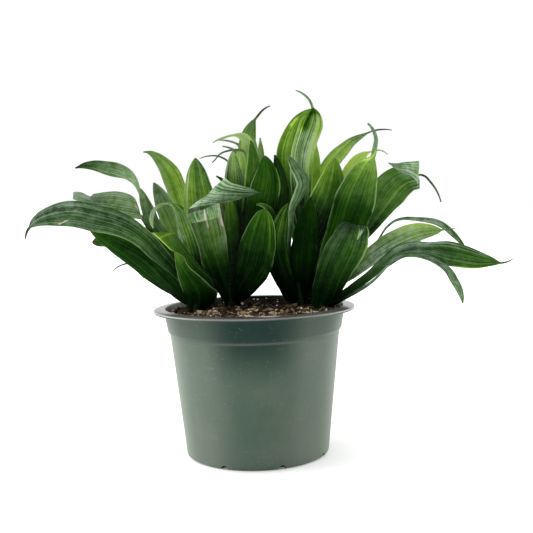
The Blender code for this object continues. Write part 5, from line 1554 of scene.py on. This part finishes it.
@dataclass
class SoilBed:
    """The soil that fills the pot, with bark chips and white grains strewn over it."""
    edge: float = 117.0
    rim: float = 71.2
    crown: float = 4.5
    crown_at: tuple = (4.0, 24.0)
    crown_spread: float = 34.0
    lump: float = 0.55
    mounds: int = 46
    mound_height: float = 1.5
    mound_spread: float = 3.4
    mounds_within: float = 67.4
    fade: float = 8.0
    crumb_fade: float = 2.0
    layers: tuple = ((0.3, 1.1), (1.4, 1.9), (2.2, 3.1), (0.9, 4.7))
    layer_height: float = 0.42
    under: tuple = ((71.5, 115.5), (69.0, 102.6), (67.4, 100.3), (56.7, 5.8), (54.2, 2.3), (0.0, 2.3))
    rings: int = 110
    sides: int = 300
    chips: Litter = Litter("bark_chips", 1150, 2.6, 8.0, 0.5, 0.25, 0.7, 4.0, (0.05, 1.1))
    fines: Litter = Litter("bark_fines", 1500, 0.9, 2.2, 0.6, 0.45, 0.5, 1.8, (0.0, 0.8))
    grains: Litter = Litter("perlite_grains", 30, 1.8, 3.6, 0.85, 0.75, 0.9, 1.0, (0.0, 1.0), rounding=2)
    strewn_within: float = 69.0
    cane_clear: float = 0.5
    piece_sides: int = 6
    piece_shift: float = 0.17
    piece_tilt: float = 0.35
    share_range: tuple = (0.7, 1.3)

    def height(self, x: Array, y: Array) -> Array:
        """Height over the edge: a bell for the crown, crossed waves, and a small bell for each mound.

        Close to the wall it fades to nothing.

        Args:
            x: places across.
            y: places in depth.

        Returns:
            Heights in millimetres.
        """
        from_crown = (x - self.crown_at[0]) ** 2 + (y - self.crown_at[1]) ** 2
        crown = self.crown * np.exp(-from_crown / self.crown_spread ** 2)
        waves = (np.sin(0.31 * x + 0.17 * y) * np.cos(0.23 * y - 0.11 * x)
                 + 0.7 * np.sin(0.53 * x - 0.61 * y))
        draw = np.random.default_rng(MOUND_SEED)
        bearing = draw.uniform(0, 2 * math.pi, self.mounds)
        radius = self.mounds_within * np.sqrt(draw.uniform(0.08, 1, self.mounds))
        mounds = np.zeros(x.shape)
        for cx, cy in zip(radius * np.cos(bearing), radius * np.sin(bearing)):
            mounds = np.maximum(mounds, np.exp(-((x - cx) ** 2 + (y - cy) ** 2) / self.mound_spread ** 2))
        fade = np.clip((self.rim - np.hypot(x, y)) / self.fade, 0, 1)
        return (crown + self.lump * waves + self.mound_height * mounds) * fade

    def crumbs(self, x: Array, y: Array) -> Array:
        """Fine roughness: four layers of crossed sines, each shorter, lower and turned.

        Args:
            x: places across.
            y: places in depth.

        Returns:
            Heights in millimetres.
        """
        rough = np.zeros(x.shape)
        for layer, (turn, pitch) in enumerate(self.layers):
            across = x * math.cos(turn) + y * math.sin(turn)
            along = y * math.cos(turn) - x * math.sin(turn)
            bend = 0.8 * np.sin(0.7 * pitch * along + layer)
            crossed = np.sin(pitch * across + bend) * np.sin(pitch * along * 0.83 + 1.7 * layer)
            rough = rough + crossed * self.layer_height / (1 + layer)
        return rough

    def build_bed(self, peat: bpy.types.Material) -> None:
        """The bed: a turned body whose top is lifted by the height and the crumbs.

        Args:
            peat: the finish.
        """
        top = np.stack([np.linspace(0, self.rim, self.rings), np.full(self.rings, self.edge)], axis=1)
        bed = turned(np.concatenate([top, np.array(self.under)]), self.sides)
        x, y, z = bed.points.T
        on_top = z > self.edge - 0.01
        fade = np.clip((self.rim - np.hypot(x, y)) / self.crumb_fade, 0, 1)
        lifted = z + self.height(x, y) + self.crumbs(x, y) * fade
        bed.points[:, 2] = np.where(on_top, lifted, z)
        finish_piece(bed.to_object("soil_bed", [peat]), "soil", "soil")

    def strew(self, litter: Litter, draw: np.random.Generator, material: bpy.types.Material) -> None:
        """Scatter broken pieces over the bed.

        Each piece is a slab with six corners above and six below, every corner shifted at random,
        then scaled, turned by three random angles and set on the bed. Places are drawn three
        times over, because those on a cane and some of the far ones are left out.

        Args:
            litter: the kind of piece.
            draw: the random numbers.
            material: the finish.
        """
        bearing = draw.uniform(0, 2 * math.pi, litter.count * 3)
        radius = self.strewn_within * np.sqrt(draw.uniform(0.0, 1, litter.count * 3))
        x, y = radius * np.cos(bearing), radius * np.sin(bearing)
        free = np.ones(len(x), bool)
        for cane in CANES:
            free &= np.hypot(x - cane.at[0], y - cane.at[1]) > cane.foot_radius + self.cane_clear
        nearness = (self.rim - y) / (2 * self.rim)
        share = nearness ** (litter.front - 1)
        keep = np.flatnonzero(free & (draw.uniform(0, 1, len(x)) < share))[:litter.count]
        x, y, nearness = x[keep], y[keep], nearness[keep]
        number, ring = len(keep), self.piece_sides
        angles = np.linspace(0, 2 * math.pi, ring, endpoint=False)
        slab = np.array([[math.cos(angle), math.sin(angle), up] for up in (-1, 1) for angle in angles])
        shifts = draw.uniform(-self.piece_shift, self.piece_shift, (number, 2 * ring, 3))
        corners = slab[None] * 0.5 + shifts
        length = draw.uniform(litter.least, litter.greatest, number)
        shares = np.stack([np.ones(number), draw.uniform(*self.share_range, number) * litter.breadth,
                           draw.uniform(*self.share_range, number) * litter.thickness], axis=1)
        corners = corners * (length[:, None] * shares)[:, None]
        tilt = draw.normal(0, self.piece_tilt, (number, 2))
        spin = draw.uniform(0, 2 * math.pi, number)
        corners = self.turned_about(corners, spin, tilt)
        corners += np.stack([x, y, self.edge + self.height(x, y) + litter.lift], axis=1)[:, None]
        start = np.arange(number)[:, None, None] * 2 * ring
        k = np.arange(ring)
        ahead = (k + 1) % ring
        sides = np.stack([k, ahead, ahead + ring, k + ring], axis=-1)[None] + start
        caps = np.stack([k[::-1], k + ring])[None] + start
        # Painted shade: pieces are darker towards the back, where the leaves shade the soil.
        tone = draw.uniform(*litter.tones, number) ** 1.6 * smooth_step(0.2, 0.75, nearness)
        heap = Surface(corners.reshape(-1, 3), [sides.reshape(-1, 4), caps.reshape(-1, ring)],
                       {"tone": np.repeat(tone, 2 * ring)}).to_object(litter.name, [material])
        if litter.rounding:
            rounding = heap.modifiers.new("rounding", "SUBSURF")
            rounding.levels = litter.rounding
            rounding.render_levels = litter.rounding
        finish_piece(heap, "soil")

    @staticmethod
    def turned_about(corners: Array, spin: Array, tilt: Array) -> Array:
        """Each piece's corners spun about Z, then tipped about X and Y by small angles.

        Args:
            corners: pieces by corners by three.
            spin: each piece's angle about Z.
            tilt: each piece's two small angles.

        Returns:
            The turned corners.
        """
        cos_spin, sin_spin = np.cos(spin)[:, None], np.sin(spin)[:, None]
        x = corners[..., 0] * cos_spin - corners[..., 1] * sin_spin
        y = corners[..., 0] * sin_spin + corners[..., 1] * cos_spin
        cos_x, sin_x = np.cos(tilt[:, :1]), np.sin(tilt[:, :1])
        y, z = y * cos_x - corners[..., 2] * sin_x, y * sin_x + corners[..., 2] * cos_x
        cos_y, sin_y = np.cos(tilt[:, 1:]), np.sin(tilt[:, 1:])
        x, z = x * cos_y + z * sin_y, z * cos_y - x * sin_y
        return np.stack([x, y, z], axis=-1)

    def build(self, peat: bpy.types.Material, bark: bpy.types.Material,
              perlite: bpy.types.Material) -> None:
        """The bed, its bark and its white grains.

        Args:
            peat: the bed's finish.
            bark: the chips' finish.
            perlite: the grains' finish.
        """
        self.build_bed(peat)
        draw = np.random.default_rng(LITTER_SEED)
        for litter, material in ((self.chips, bark), (self.fines, bark), (self.grains, perlite)):
            self.strew(litter, draw, material)


@dataclass
class Studio:
    """A white floor, a white wall ahead, a dim room behind the viewer, soft lights, and the camera.

    down, pan and roll are the camera's angles in degrees, and nearest is where its view begins.
    Each sun has a name, the direction it stands in, its width in degrees and its power.
    """
    floor_reach: float = 60000.0
    floor_gap: float = 0.05
    lens: float = 57.68
    sensor: float = 36.0
    nearest: float = 10.0
    down: float = 4.165
    pan: float = 0.895
    roll: float = -1.555
    room_ahead: float = 1.1
    room_behind: float = 0.05
    room_shine: float = 0.75
    suns: tuple = (("sky light", (-0.1, 0.1, 1.0), 80.0, 2.0),
                   ("front light", (-0.2, -0.6, 1.0), 60.0, 0.8),
                   ("left light", (-1.0, 0.20, 0.40), 60.0, 3.0),
                   ("right light", (1.0, 0.35, 0.36), 50.0, 1.8))

    def build_floor(self, finish: bpy.types.Material) -> None:
        """One square of floor, a hair below the pot so that the two don't share a plane.

        Args:
            finish: the floor's finish.
        """
        reach = self.floor_reach
        points = np.array([[-reach, -reach], [reach, -reach], [reach, reach], [-reach, reach]])
        points = np.column_stack([points, np.full(4, -self.floor_gap)])
        floor = Surface(points, [np.array([[0, 1, 2, 3]])]).to_object("floor", [finish])

    def build_lights(self) -> None:
        """Wide soft suns and the room: white ahead, dim behind, but brighter there in mirrorings."""
        for name, direction, width, power in self.suns:
            lamp = bpy.data.lights.new(name, "SUN")
            lamp.energy = power
            lamp.angle = math.radians(width)
            thing = bpy.data.objects.new(name, lamp)
            thing.rotation_mode = "QUATERNION"
            thing.rotation_quaternion = Vector(direction).to_track_quat("Z", "Y")
            bpy.context.scene.collection.objects.link(thing)
        world = bpy.data.worlds.new("white room")
        world.use_nodes = True
        graph = Graph(world.node_tree)
        seen = graph.value("ShaderNodeLightPath", output="Is Camera Ray")
        mirrored = graph.value("ShaderNodeLightPath", output="Is Glossy Ray")
        heading = graph.node("ShaderNodeTexCoord").outputs["Generated"]
        ahead = graph.value("ShaderNodeSeparateXYZ", None, {0: heading}, output="Y").step(-0.3, 0.6)
        glow = ahead * self.room_ahead + (1 - ahead) * (mirrored * self.room_shine + self.room_behind)
        strength = seen + (1 - seen) * glow
        room = graph.node("ShaderNodeBackground", None, {"Color": (1, 1, 1, 1), "Strength": strength})
        graph.node("ShaderNodeOutputWorld", None, {"Surface": room.outputs[0]})
        bpy.context.scene.world = world

    def build_camera(self) -> None:
        """The camera, pitched down and panned and rolled a little, at the photo's viewpoint."""
        down, pan, roll = (math.radians(angle) for angle in (self.down, self.pan, self.roll))
        ahead = Vector((math.sin(pan) * math.cos(down), math.cos(pan) * math.cos(down), -math.sin(down)))
        right = Vector((math.cos(pan), -math.sin(pan), 0.0))
        up = right.cross(ahead)
        level = Matrix((right, up, -ahead)).transposed()
        turned_view = level @ Matrix.Rotation(roll, 3, "Z")
        data = bpy.data.cameras.new("camera")
        data.lens = self.lens
        data.sensor_width = self.sensor
        data.clip_start = self.nearest * MM
        camera = bpy.data.objects.new("camera", data)
        viewpoint = Matrix.Translation(Vector(EYE * MM))
        camera.matrix_world = viewpoint @ turned_view.to_4x4()
        bpy.context.scene.collection.objects.link(camera)
        bpy.context.scene.camera = camera
        bpy.context.scene.view_settings.view_transform = "Standard"


def main() -> None:
    """Load the frame and build each piece in order."""
    logging.basicConfig(level=logging.INFO, format="%(message)s")
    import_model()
    leaf, cane = LeafFinish().make(), CaneFinish().make()
    PotShell().build(PotFinish().make())
    SoilBed().build(SoilFinish().make(), ChipFinish().make(), PerliteFinish().make())
    for leafy_cane in CANES:
        leafy_cane.build(leaf, cane)
    studio = Studio()
    studio.build_floor(FloorFinish().make())
    studio.build_lights()
    studio.build_camera()


if __name__ == "__main__":
    main()
